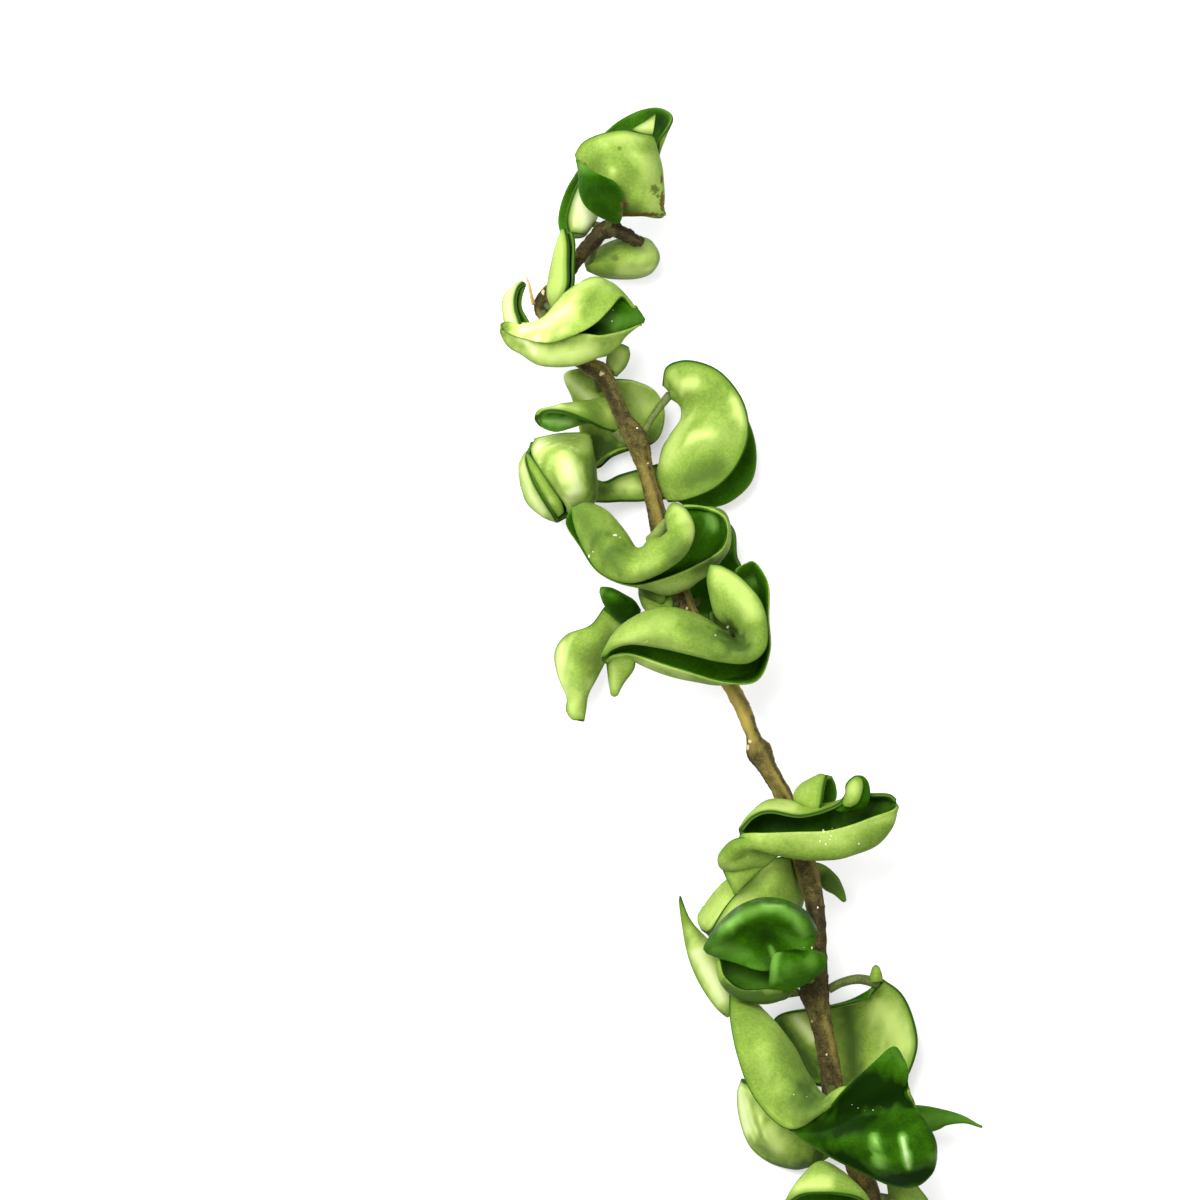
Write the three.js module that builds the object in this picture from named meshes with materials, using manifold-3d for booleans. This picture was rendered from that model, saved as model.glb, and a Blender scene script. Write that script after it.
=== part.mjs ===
// Cut length of a rope-leaved hoya vine: a brown stem with thick leaves folded along their midribs.
// Millimetres, +Z up. It lies on its lowest leaves; +Y points along the vine to its growing tip.
import * as THREE from "three";
import { mergeVertices } from "three/addons/utils/BufferGeometryUtils.js";
import Module from "manifold-3d";

const wasm = await Module();
wasm.setup();
const { Manifold, Mesh } = wasm;

// Driving dimensions
const FRAME_SIDE = 240;          // side of the square that the tables below are measured in
const BLADE_THICKNESS = 1.3;     // fleshy blade at its midrib
const EDGE_THINNING = 0.45;      // share of that thickness lost at the margin
const STEM_GAP = 0.3;            // left between a leaf stalk and the stem
const GROUND_LEVEL = 2.9;        // table height of the surface that the lowest leaves rest on
const GROUND_DEPTH = 40;
const POINTED_END = 3;           // an end shorter than this is a point, not an open end
const STEPS_PER_STATION = 2;
const STEPS_ACROSS_FOLD = 6;
const STEPS_ACROSS_SHEET = 4;
const STALK_SIDES = 6;
const STEM_SIDES = 9;
const STEM_STEPS = 1;
const UNDERSIDE_GREEN = 0x9cc455;
const UPPER_GREEN = 0x2a5a1c;
const STEM_BROWN = 0x6b5634;
const LEAF_ROUGHNESS = 0.4;
const BARK_ROUGHNESS = 0.75;
const RING_UPRIGHT = new THREE.Vector3(0.3, -0.2, 1);   // never along a shoot, so its rings do not twist

const plant = new THREE.Group();

// Every table point is mm right of, mm below and mm above one corner of the square frame
function place(x, y, z) {
  return new THREE.Vector3(x - FRAME_SIDE / 2, FRAME_SIDE / 2 - y, z - GROUND_LEVEL);
}

function smoothCurve(points) {
  return new THREE.CatmullRomCurve3(points, false, "catmullrom", 0.5);
}

function rowPoints(row) {
  const points = [];
  for (let i = 0; i < row.length; i += 3) points.push(place(row[i], row[i + 1], row[i + 2]));
  return points;
}

// Closed solid from a list of points and a list of triangles that share them
function solidOf(points, triangles) {
  const vertProperties = new Float32Array(points.flatMap((p) => [p.x, p.y, p.z]));
  const triVerts = new Uint32Array(triangles.flat());
  const solid = new Manifold(new Mesh({ numProp: 3, vertProperties, triVerts }));
  if (solid.volume() > 0) return solid;
  const flipped = new Uint32Array(triangles.flatMap(([a, b, c]) => [a, c, b]));
  return new Manifold(new Mesh({ numProp: 3, vertProperties, triVerts: flipped }));
}

// Difference between the neighbours of item i, one-sided at the ends
function slope(items, i) {
  const before = items[Math.max(i - 1, 0)];
  const after = items[Math.min(i + 1, items.length - 1)];
  return after.clone().sub(before);
}

// Two mid-half points that swell a folded blade outwards, added between its margins and its rib
function bulgedSection(near, rib, far, along, bulge, side) {
  const nearHalf = near.clone().sub(rib);
  const farHalf = far.clone().sub(rib);
  const nearOut = along.clone().cross(nearHalf).normalize();
  const farOut = farHalf.clone().cross(along).normalize();
  const nearMiddle = near.clone().add(rib).multiplyScalar(0.5);
  const farMiddle = far.clone().add(rib).multiplyScalar(0.5);
  nearMiddle.addScaledVector(nearOut, side * bulge[0] * nearHalf.length());
  farMiddle.addScaledVector(farOut, side * bulge[1] * farHalf.length());
  return [near, nearMiddle, rib, farMiddle, far];
}

// Which way is out of the fold: +1 or -1 for the sections' shared winding
function outwardSide(sections, alongs) {
  let sum = 0;
  sections.forEach(([near, rib, far], i) => {
    const nearOut = alongs[i].clone().cross(near.clone().sub(rib)).normalize();
    const farOut = far.clone().sub(rib).cross(alongs[i]).normalize();
    const across = near.clone().sub(far);
    sum += nearOut.dot(across) - farOut.dot(across);
  });
  return Math.sign(sum);
}

// Middle surface of a blade: smooth along its stations and then smooth across each of them
function middleSurface(blade) {
  const rows = blade.rows.map(rowPoints);
  const steps = (rows.length - 1) * STEPS_PER_STATION;
  const rails = rows[0].map((_, k) => smoothCurve(rows.map((row) => row[k])));
  let sections = [];
  for (let i = 0; i <= steps; i += 1) sections.push(rails.map((rail) => rail.getPoint(i / steps)));
  if (blade.bulge) {
    const centres = sections.map(([near, rib, far]) => near.clone().add(rib).add(far).divideScalar(3));
    const alongs = centres.map((_, i) => slope(centres, i));
    const side = outwardSide(sections, alongs);
    sections = sections.map(([near, rib, far], i) =>
      bulgedSection(near, rib, far, alongs[i], blade.bulge, side));
  }
  const across = rows[0].length === 3 && !blade.bulge ? STEPS_ACROSS_SHEET : STEPS_ACROSS_FOLD;
  return sections.map((section) => smoothCurve(section).getPoints(across));
}

function sectionLength(section) {
  return section.slice(1).reduce((sum, point, j) => sum + point.distanceTo(section[j]), 0);
}

function surfaceNormals(grid) {
  const normals = grid.map((section, i) => section.map((_, j) => {
    const column = grid.map((other) => other[j]);
    return slope(column, i).cross(slope(section, j)).normalize();
  }));
  const mean = (list) => list.reduce((sum, n) => sum.add(n), new THREE.Vector3()).normalize();
  const last = normals.length - 1;
  [[0, 1], [last, last - 1]].forEach(([end, beside]) => {
    const pointed = sectionLength(grid[end]) < POINTED_END;
    const shared = mean(normals[beside].map((n) => n.clone()));
    normals[end] = normals[beside].map((n) => (pointed ? shared : n).clone());
  });
  return normals;
}

// Solid blade: both faces are the middle surface pushed out by half the thickness
function bladeSolid(blade) {
  const grid = middleSurface(blade);
  const normals = surfaceNormals(grid);
  const width = grid[0].length;
  const count = grid.length * width;
  const points = [];
  [1, -1].forEach((face) => grid.forEach((section, i) => section.forEach((point, j) => {
    const fromRib = Math.abs(2 * j / (width - 1) - 1);
    const half = BLADE_THICKNESS * (1 - EDGE_THINNING * fromRib ** 3) / 2;
    points.push(point.clone().addScaledVector(normals[i][j], face * half));
  })));
  const triangles = [];
  const quad = (a, b, c, d) => triangles.push([a, b, c], [a, c, d]);
  for (let i = 0; i < grid.length - 1; i += 1) {
    for (let j = 0; j < width - 1; j += 1) {
      const a = i * width + j;
      triangles.push([a, a + width, a + width + 1], [a, a + width + 1, a + 1]);
      triangles.push([count + a, count + a + width + 1, count + a + width]);
      triangles.push([count + a, count + a + 1, count + a + width + 1]);
    }
    const left = i * width;
    const right = left + width - 1;
    quad(left, count + left, count + left + width, left + width);
    quad(right, right + width, count + right + width, count + right);
  }
  for (let j = 0; j < width - 1; j += 1) {
    const end = (grid.length - 1) * width + j;
    quad(j, j + 1, count + j + 1, count + j);
    quad(end, count + end, count + end + 1, end + 1);
  }
  return solidOf(points, triangles);
}

// Round tube of varying radius, closed at both ends; each table point ends with its radius
function tubeSolid(table, sides, steps, growth = 0) {
  const path = smoothCurve(table.map(([x, y, z]) => place(x, y, z)));
  const widths = smoothCurve(table.map((row) => new THREE.Vector3(row[3], 0, 0)));
  const count = (table.length - 1) * steps;
  const points = [];
  for (let i = 0; i <= count; i += 1) {
    const centre = path.getPoint(i / count);
    const forward = path.getTangent(i / count);
    const across = forward.clone().cross(RING_UPRIGHT).normalize();
    const upward = across.clone().cross(forward);
    const radius = widths.getPoint(i / count).x + growth;
    for (let s = 0; s < sides; s += 1) {
      const angle = 2 * Math.PI * s / sides;
      const point = centre.clone().addScaledVector(across, radius * Math.cos(angle));
      points.push(point.addScaledVector(upward, radius * Math.sin(angle)));
    }
  }
  const triangles = [];
  for (let i = 0; i < count; i += 1) {
    for (let s = 0; s < sides; s += 1) {
      const a = i * sides + s;
      const b = i * sides + (s + 1) % sides;
      triangles.push([a, b, b + sides], [a, b + sides, a + sides]);
    }
  }
  const end = count * sides;
  for (let s = 1; s < sides - 1; s += 1) {
    triangles.push([0, s + 1, s], [end, end + s, end + s + 1]);
  }
  return solidOf(points, triangles);
}

function addNode(name, solid, color, roughness) {
  const mesh = solid.getMesh();
  const geometry = new THREE.BufferGeometry();
  geometry.setAttribute("position", new THREE.BufferAttribute(mesh.vertProperties, 3));
  geometry.setIndex(new THREE.BufferAttribute(mesh.triVerts, 1));
  geometry.computeVertexNormals();
  const material = new THREE.MeshStandardMaterial({ color, roughness, metalness: 0 });
  const node = new THREE.Mesh(geometry, material);
  node.name = name;
  plant.add(node);
}

// Everything below z = 0 is cut off flat, which gives the resting leaves their flat spots
function groundSolid() {
  const box = new THREE.BoxGeometry(2 * FRAME_SIDE, 2 * FRAME_SIDE, GROUND_DEPTH);
  box.translate(0, 0, -GROUND_DEPTH / 2);
  box.deleteAttribute("normal");
  box.deleteAttribute("uv");
  const merged = mergeVertices(box);
  const vertProperties = new Float32Array(merged.attributes.position.array);
  const triVerts = new Uint32Array(merged.index.array);
  return new Manifold(new Mesh({ numProp: 3, vertProperties, triVerts }));
}

// Stem, from the withered tip to the cut end: centre line, and radius with its swollen nodes
const STEM = [
  [128.4, 48.6, 22.4, 0.8],
  [126.6, 47.8, 23.2, 1.3],
  [124, 46.4, 23.4, 1.5],
  [121.4, 45.8, 22.6, 1.8],
  [118, 48.8, 21.5, 1.5],
  [115, 52.6, 20.6, 1.4],
  [111.6, 56.8, 19.8, 1.5],
  [108.8, 60.8, 19.5, 2],
  [110.8, 65.4, 19, 1.5],
  [114.2, 70.2, 18.5, 1.5],
  [117.6, 73, 18, 1.7],
  [120.4, 74.6, 18, 1.9],
  [122.4, 78.4, 18, 1.55],
  [124.6, 83.4, 18, 1.6],
  [127.4, 88, 18, 2.3],
  [129, 93.6, 18, 1.7],
  [130.8, 100, 18, 1.75],
  [132.2, 106.4, 18, 2],
  [134.4, 113.4, 18, 1.7],
  [137, 121, 18, 2],
  [141, 129, 17.8, 1.6],
  [146.4, 137.6, 17.6, 1.6],
  [149, 142.6, 17.4, 1.55],
  [150.7, 147.4, 17.3, 1.5],
  [151.8, 150.2, 17.2, 2.6],
  [153.8, 154, 17.1, 1.85],
  [157.1, 160, 16.9, 1.8],
  [159.6, 167, 16.9, 1.9],
  [161, 172.8, 17, 2.3],
  [163.1, 181, 17.2, 1.9],
  [163.7, 191, 17.4, 1.8],
  [162.9, 198, 17.4, 2.9],
  [163.7, 202, 17.3, 2.4],
  [165, 208, 17.1, 2.1],
  [166.2, 214.4, 17, 2.1],
  [166.8, 219, 17, 2.2],
  [169.6, 228, 16.6, 2.1],
  [173.6, 239, 16, 2.6],
  [175.4, 246, 15.7, 2.2],
  [177, 252, 15.5, 2.2],
];
const stemSolid = tubeSolid(STEM, STEM_SIDES, STEM_STEPS);
const stemClearance = tubeSolid(STEM, STEM_SIDES, STEM_STEPS, STEM_GAP);
addNode("stem", stemSolid, STEM_BROWN, BARK_ROUGHNESS);

const ground = groundSolid();

// One leaf: its blades and its stalk as one body, clear of the stem and cut level at the ground
function addLeaf(name, { stalk, blades, color = UNDERSIDE_GREEN }) {
  let leaf = tubeSolid(stalk, STALK_SIDES, STEPS_PER_STATION);
  blades.forEach((blade) => {
    leaf = leaf.add(bladeSolid(blade));
  });
  leaf = leaf.subtract(stemClearance).subtract(ground);
  addNode(name, leaf, color, LEAF_ROUGHNESS);
}

// First node, top leaf: a wide sheet folded upwards with its back half standing above it,
// a pointed flap in its mouth and one dark lobe rolled over the front
addLeaf("leaf_n1_top", {
  stalk: [[121.6, 45.4, 24.2, 0.7], [122, 44, 25, 0.7], [122.2, 41.8, 25.2, 0.8]],
  blades: [
    {
      rows: [
        [115, 31, 27,  115.6, 32, 27.4,  117.4, 33.6, 26,  116.8, 31.4, 22,  117.6, 29.8, 19],
        [116.6, 28.6, 29,  118, 33, 30,  119.8, 38.4, 26,  119.4, 32, 19,  120.4, 26.8, 16],
        [120, 27, 30,  121, 34, 32,  122, 42.2, 25,  121.6, 33, 17,  123.6, 24, 14],
        [124.4, 26.2, 30,  125, 34, 32.5,  125.8, 42.8, 25,  125.8, 32, 16,  128, 21.8, 15],
        [128, 26.8, 29,  129, 34, 31.5,  129.2, 42.8, 24.5,  129, 32, 17,  132, 21.4, 19],
        [130.2, 27.2, 27.5,  131.6, 34, 28,  132, 43, 24,  130.6, 32, 19,  134.5, 23.6, 23],
        [130.7, 28.4, 26,  132.1, 35.4, 26.5,  132.6, 42.9, 24.5,  131.2, 34, 22,  131.6, 28.2, 23.5],
      ],
    },
    {
      rows: [
        [126, 26.2, 29.4,  126.1, 26.4, 29.4,  126.2, 26.6, 29.4],
        [128.6, 24.6, 27.6,  128.4, 25.9, 28.4,  128.2, 27.2, 28.7],
        [131.1, 22.7, 25,  130.7, 25, 26.4,  130.3, 27.5, 27.2],
      ],
    },
    {
      rows: [
        [115.3, 31.6, 27.2,  115.8, 32, 27.8,  116.6, 32.6, 28],
        [115.8, 35, 28.5,  117.6, 35, 31,  119.4, 34.6, 30],
        [115.8, 38.2, 30,  119.2, 37.6, 33.4,  122, 36, 31.5],
        [116.8, 41, 31,  120.4, 40, 34.4,  124, 37.8, 32],
        [119, 43, 31,  122, 41.6, 33.8,  124.6, 40.4, 31.8],
        [121.6, 44.2, 30,  123.2, 43.4, 31.8,  124.4, 42.8, 30.8],
        [123, 44.6, 29.2,  123.4, 44.5, 29.5,  123.9, 44.3, 29.4],
      ],
    },
  ],
});

// First node, left leaf: folded, its mouth to the left
addLeaf("leaf_n1_left", {
  stalk: [[120.4, 45.2, 21, 0.7], [119, 44.8, 19, 0.7], [118, 44.2, 18, 0.8]],
  blades: [
    {
      bulge: [0.15, 0.2],
      rows: [
        [115.8, 36.2, 22.4,  116.4, 35, 20.6,  115.4, 34, 18],
        [114.8, 38.2, 23.4,  118.4, 38.8, 18,  113.2, 37.6, 14],
        [113.8, 41, 24.4,  119.2, 42, 17.5,  111.9, 41.4, 12],
        [113.2, 44, 24.6,  118.2, 44.6, 18,  111.6, 44.4, 12],
        [113.6, 46.6, 23.8,  116.4, 47, 18.4,  112.2, 47.2, 14],
      ],
    },
  ],
});

// First node, right leaf: an oval fold under the withered stem tip
addLeaf("leaf_n1_right", {
  stalk: [[120.6, 47, 20.5, 0.7], [118.9, 49.6, 19, 0.7], [117.8, 52.4, 15.6, 0.8]],
  blades: [
    {
      rows: [
        [116.9, 51.6, 13,  116.9, 52, 14.6,  117, 52.7, 15.2,  117.2, 53.3, 14.8,  117.3, 53.6, 13.6],
        [119.8, 49.4, 10,  120, 50.8, 15.2,  120.2, 52.4, 16.8,  120.4, 54, 15,  120.6, 55, 11],
        [123.2, 47.8, 9,  123.4, 49.4, 15.6,  123.6, 51.8, 17.6,  123.8, 54, 15,  124, 55.4, 10],
        [127.4, 47.2, 9,  127.4, 49, 15.6,  127.4, 51.6, 18,  127.4, 54, 15,  127.4, 55.2, 10],
        [129.8, 47.8, 9.5,  130.2, 49.4, 14.6,  130.4, 51.4, 16.8,  130.2, 53.4, 14.4,  129.8, 54.4, 10.5],
        [131, 49.4, 10,  131.3, 50.2, 12.2,  131.5, 51.2, 13.4,  131.3, 52.2, 12.4,  131, 53, 10.8],
      ],
    },
  ],
});

// Second node, narrow leaf folded up to a slit
addLeaf("leaf_n2_upright", {
  stalk: [[109.4, 61, 21.5, 0.7], [110.2, 61.6, 24, 0.7], [111.3, 60.8, 26.6, 0.8]],
  blades: [
    {
      rows: [
        [113.2, 45.8, 29,  112.8, 46, 28.5,  112.9, 46.2, 27,  113.6, 46.4, 27,  114.4, 46.6, 29],
        [113.8, 49, 31.5,  111.8, 49.2, 29.5,  112.2, 49.4, 25.5,  114, 49.4, 25.5,  114.8, 49.2, 30.5],
        [113.8, 53, 32,  110.8, 53, 29.5,  111.4, 53, 24.5,  113.8, 53.2, 24.5,  114.7, 53.2, 31],
        [113.8, 57, 32,  110.2, 56.8, 29.5,  111, 57, 24.5,  113.6, 57.2, 24.5,  114.5, 57.2, 30.5],
        [112.9, 59.4, 31,  110.2, 59.4, 29,  111, 59.6, 25,  112.4, 59.6, 25,  113.3, 59.4, 29.5],
        [111.9, 61.6, 28.5,  110.9, 61.8, 27.5,  111.1, 62, 26,  111.6, 62, 26,  112.1, 61.6, 27.5],
      ],
    },
  ],
});

// Second node, front leaf: a boat round its own mouth, with a horn at its left end
addLeaf("leaf_n2_boat", {
  stalk: [[108.8, 62.4, 21, 0.7], [109, 64.6, 23.5, 0.8], [109.8, 67.2, 25.4, 0.9]],
  blades: [
    {
      rows: [
        [100.2, 65.4, 33.2,  100.4, 65.2, 33,  100.5, 65.6, 32.4,  100.4, 66.2, 32.8,  100.2, 65.8, 33.2],
        [101.6, 66.8, 35,  102.4, 65, 33,  102.8, 67, 28.5,  102, 69, 31,  101.4, 66.6, 33.8],
        [105, 68, 37,  105.8, 65.2, 33.5,  105.6, 67.6, 26.5,  104.4, 70.5, 31,  104.8, 67.8, 35.4],
        [110, 68.8, 38,  109.6, 63.4, 34,  109.8, 67.4, 25.5,  108.4, 72.7, 31.5,  109.8, 68.4, 36.2],
        [115.6, 67, 38.5,  114.2, 58.4, 33,  115, 66, 25.5,  115, 72.9, 31.5,  115.8, 67, 36.4],
        [119.2, 64.9, 38.4,  118.4, 56.2, 32.5,  119.8, 62.4, 29.6,  119.6, 71.4, 30,  120, 67.3, 36],
        [121.8, 62.3, 37.4,  121.8, 57, 32,  123.2, 61.2, 31.4,  122.6, 69.8, 29.6,  123.8, 66.5, 33],
        [124.3, 59.5, 35.2,  124.8, 59.7, 32.6,  126.2, 62, 31.8,  125.2, 66.6, 30.4,  126, 65.8, 32],
        [126.4, 61.8, 32.2,  126.8, 62, 31.8,  127.6, 63.2, 31.2,  127.2, 65, 30.8,  127.4, 65.2, 31.4],
        [128.5, 64.3, 30.4,  128.6, 64.4, 30.2,  128.7, 64.6, 30.1,  128.6, 64.8, 30.1,  128.5, 64.8, 30.3],
      ],
    },
    {
      bulge: [0.16, 0.12],
      rows: [
        [105.1, 56.8, 31,  104.8, 56.9, 30.4,  105.3, 57, 30.4],
        [103.9, 57.8, 33,  102.6, 58.4, 29.6,  104.7, 58.6, 30.6],
        [103.3, 59.8, 34,  101.4, 60.2, 29,  104.3, 60.2, 31],
        [103.4, 62, 34.5,  101.3, 62.4, 29,  104.4, 62, 31.5],
        [104, 64, 34.6,  101.6, 64.6, 29.4,  105.4, 63.8, 32],
        [104.6, 66, 34.4,  102.6, 67, 30,  106.4, 65.6, 32.4],
      ],
    },
  ],
});

// Third node, small lobe to the right
addLeaf("leaf_n3_lobe", {
  stalk: [[121, 73.4, 17, 0.6], [121.8, 74.2, 15, 0.6], [122.6, 74.4, 13.8, 0.6]],
  blades: [
    {
      rows: [
        [121.8, 74.6, 13.5,  122.6, 74.9, 13.5,  123.4, 75.2, 13.5],
        [121.2, 72.2, 14,  123.2, 72.8, 14.6,  125.2, 73.2, 14],
        [122, 69.9, 14.5,  124.2, 70.6, 15.6,  126, 71, 14.5],
        [123.8, 68.6, 15,  124.8, 68.8, 15.2,  125.8, 69.3, 15],
      ],
    },
  ],
});

// Third node, round leaf behind the stem, on which the cutting rests
addLeaf("leaf_n3_round", {
  stalk: [[118.6, 74.6, 15.8, 0.7], [119.2, 76, 13.4, 0.7], [119.8, 77.6, 9.4, 0.8]],
  blades: [
    {
      rows: [
        [117, 73.2, 12,  120.2, 76, 12.4,  122.4, 75.8, 12],
        [112.7, 74.8, 10,  120.2, 78, 8.2,  127.2, 76.2, 11],
        [114.4, 79.6, 8,  120.8, 81, 5,  131.4, 78.4, 9.5],
        [115.6, 84, 6.5,  121.2, 85, 3.2,  133, 83, 8.5],
        [116.4, 88.4, 6,  121.2, 88.6, 3,  131, 88.2, 8.5],
        [118, 92, 6.5,  120.4, 91.8, 4.6,  123.6, 90, 7.5],
        [118.6, 93.2, 7,  119.2, 93.2, 6.6,  120.2, 92.8, 7],
      ],
    },
  ],
});

// Fourth node, left leaf, rolled shut at its tip
addLeaf("leaf_n4_left", {
  stalk: [[125.8, 88.6, 17, 0.9], [124.6, 87.8, 16.2, 0.9], [122.8, 85.8, 15.2, 1]],
  blades: [
    {
      bulge: [0.15, 0.25],
      rows: [
        [123.6, 86.4, 15.5,  122.4, 79.8, 13.5,  122, 85.4, 11],
        [120.6, 85.8, 19,  119, 80.2, 17,  120, 85, 14],
        [117.6, 84.4, 24,  115.6, 80.8, 21,  117.6, 84.6, 18.4],
        [114, 83, 26,  112.4, 81.4, 23,  114.4, 85.6, 20.4],
        [111.2, 82.4, 27,  110, 82.2, 24.5,  111.2, 86.4, 22.4],
        [109, 82.6, 27,  108, 82.6, 25.5,  108.6, 85.6, 23.8],
        [108, 83.4, 26.5,  107.6, 83.6, 26,  107.8, 84.4, 25],
      ],
    },
  ],
});

// Fourth node, right leaf: the kidney on a long stalk
addLeaf("leaf_n4_kidney", {
  stalk: [[129, 86, 18, 0.75], [131, 82.6, 18.6, 0.75], [134, 78.8, 17.8, 0.9]],
  blades: [
    {
      bulge: [0.18, 0.15],
      rows: [
        [132.4, 77, 20,  133.8, 78.6, 18,  132.8, 77, 15],
        [133.4, 73.2, 22,  134.6, 79.2, 17.5,  134, 74, 12],
        [138, 72, 22.5,  136, 80.2, 17,  138.2, 73, 11],
        [144, 74.2, 22,  136.8, 81.8, 16.5,  143.6, 75.4, 10],
        [148.6, 80, 21.5,  136.6, 84, 16,  148.2, 80.8, 9.5],
        [149.8, 86.6, 21,  134.4, 87.2, 16,  151.2, 88.2, 9.5],
        [147.6, 92.8, 20.5,  132.8, 90.4, 15.5,  150.8, 95.6, 9.5],
        [143.4, 97.4, 20,  132, 94.4, 15,  146.4, 100.2, 9.5],
        [137.6, 100, 19,  132.2, 97.6, 14.5,  141.2, 101.6, 9.5],
        [133.6, 100.4, 17,  133, 99.8, 14.5,  136.8, 101, 11],
      ],
    },
  ],
});

// Fifth node, left leaf: a box-like fold with its mouth to the left, and the broad neck
// that runs behind the stem
addLeaf("leaf_n5_left", {
  stalk: [[131.4, 105.2, 15.5, 0.8], [130.6, 103, 11.5, 0.8], [129.6, 99, 7.4, 0.9]],
  blades: [
    {
      rows: [
        [106.8, 87.8, 17,  112, 87, 17.4,  117.6, 86.8, 15.4,  111, 87.4, 9,  106, 88.4, 15],
        [106.2, 90.6, 23,  112, 90, 28,  118, 90.2, 19,  105.5, 91.6, 14,  105.4, 91.9, 21],
        [108.6, 94.6, 27,  113.6, 94, 31,  118.4, 94.4, 20,  105.1, 95.8, 14,  106.8, 96.2, 25],
        [111.2, 98.2, 26,  114.8, 98, 29.4,  118.8, 98, 20,  106, 99.8, 14,  108.8, 99.8, 25],
        [112.9, 100.8, 24,  115, 101, 24.4,  118, 100.6, 20,  108.8, 102.6, 16,  110.6, 102.7, 23],
        [113.3, 102.2, 22,  113.6, 102.2, 22,  114, 102.8, 19.5,  112, 104, 18.4,  111.4, 104.2, 20.4],
      ],
    },
    {
      rows: [
        [105.4, 91, 19.6,  105.7, 90.8, 20,  106, 90.6, 20],
        [106, 94, 22.4,  106.9, 93.4, 23,  107.8, 92.8, 23.6],
        [107.6, 98, 23.6,  108.8, 97.2, 24,  110.2, 96.4, 24.6],
        [110, 101.6, 22.4,  111.2, 100.6, 23,  112.4, 99.8, 23.4],
        [111.4, 103.4, 20.6,  112.2, 102.8, 21,  113, 102.2, 21.4],
      ],
    },
    {
      rows: [
        [118, 95, 19.6,  118.2, 97.6, 19.4,  118, 100.4, 19.4],
        [120.8, 96.2, 14,  120.8, 98.4, 13,  121, 100.5, 14],
        [124, 94.8, 10,  124, 97.6, 9,  124.4, 100.3, 10],
        [128, 93.6, 8,  128.2, 97, 7,  128.6, 100.2, 8],
        [131.6, 92.6, 7,  131.8, 96, 6,  132, 99.4, 7],
      ],
    },
  ],
});

// Fifth node, front leaf: it bends round the stem in a U
addLeaf("leaf_n5_front", {
  stalk: [[129.9, 107.9, 20, 0.9], [131.2, 107, 22.2, 1.1], [132.8, 105.2, 23.8, 1.1], [134, 104.2, 27, 1], [134.3, 104.4, 31.5, 1]],
  blades: [
    {
      rows: [
        [114.4, 101.2, 31,  116.4, 100.8, 33,  118.2, 101.2, 30,  116.6, 101.7, 28,  114.2, 102, 29],
        [114.8, 105, 32,  118.4, 103, 35,  121.4, 103.2, 31,  118, 105, 26,  113.2, 104.8, 28],
        [116.8, 110, 33,  120.6, 107.4, 36,  124.4, 106.4, 31,  120, 109.6, 25,  115.8, 109, 28],
        [120, 114.6, 34,  123.6, 111.2, 37,  126.8, 110, 31,  124, 113, 25,  119.6, 114.4, 29],
        [125.6, 116.6, 35,  127.6, 113.4, 38,  129, 110, 32,  129, 116.4, 26,  126, 117, 31],
        [131.4, 115, 36,  131, 112, 39,  130.4, 108.4, 33,  133.6, 118.4, 26.6,  132.4, 115.8, 32],
        [136.8, 111.2, 36,  135, 109.8, 39,  132.4, 108.2, 33,  140, 115.4, 26.4,  138.8, 113.2, 31],
        [138.8, 106.4, 35.5,  136.6, 106.6, 38,  134.2, 106.8, 33,  144.4, 109.6, 26,  144.6, 109.4, 31],
        [137.6, 102.4, 34.5,  135.8, 103.8, 36,  134.2, 105.4, 33,  143.6, 102.8, 26,  145, 104, 31],
        [135, 100.6, 33,  134.6, 102, 34,  133.8, 104, 32,  138, 102, 27,  140.8, 101.6, 29],
        [133.6, 101.8, 32,  133.5, 102.6, 32,  133.4, 103.6, 31,  134, 102, 29,  135, 101.4, 29],
      ],
    },
  ],
});

// Sixth node, back leaf to the right, on which the cutting rests
addLeaf("leaf_n6_back", {
  stalk: [[137.4, 121, 15.6, 0.8], [138.4, 121, 12, 0.8], [139.6, 120.4, 7, 0.9]],
  color: UPPER_GREEN,
  blades: [
    {
      rows: [
        [140, 103.2, 12,  142.4, 102.8, 12,  144.4, 103.4, 13],
        [139.6, 105, 9,  143.6, 105.4, 8,  147, 106.4, 12],
        [139, 110, 7,  143.2, 110, 3.6,  147.4, 111.2, 11],
        [138, 115, 7,  143, 115.6, 3,  148.6, 114.6, 11],
        [137.6, 119, 7.5,  142, 120, 5,  147, 119.6, 9.5],
        [139, 123, 8.5,  142, 123.6, 7.5,  144, 123, 9.5],
      ],
    },
  ],
});

// Sixth node, small curled leaf
addLeaf("leaf_n6_curl", {
  stalk: [[135.4, 120.8, 19.8, 0.7], [134, 121, 21.4, 0.7], [132.6, 121, 22.4, 0.7]],
  blades: [
    {
      rows: [
        [127.8, 117.2, 20.6,  129.8, 117, 21.6,  132.8, 117.2, 21.8],
        [127.7, 118.8, 20.8,  130.4, 119, 22.4,  134.4, 119, 22.4],
        [128.3, 120.8, 21.2,  130.8, 121, 22.8,  134.8, 121, 22.6],
        [129.3, 122.2, 20.8,  131, 122.5, 21.6,  134, 122.4, 21.6],
      ],
    },
    {
      rows: [
        [127.9, 117.6, 23,  128, 117.2, 23.6,  128.6, 117, 23.8],
        [128, 118.4, 22.6,  129.4, 117.8, 24.8,  130.4, 117, 24.2],
        [129.4, 119.4, 22.6,  130.6, 118.6, 25,  131.6, 117.6, 24.4],
        [130.8, 120.2, 22.6,  131.8, 119.4, 24.6,  132.6, 118.6, 24],
        [132, 120.8, 22.4,  132.6, 120.4, 23.4,  133, 119.8, 23],
      ],
    },
  ],
});

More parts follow.
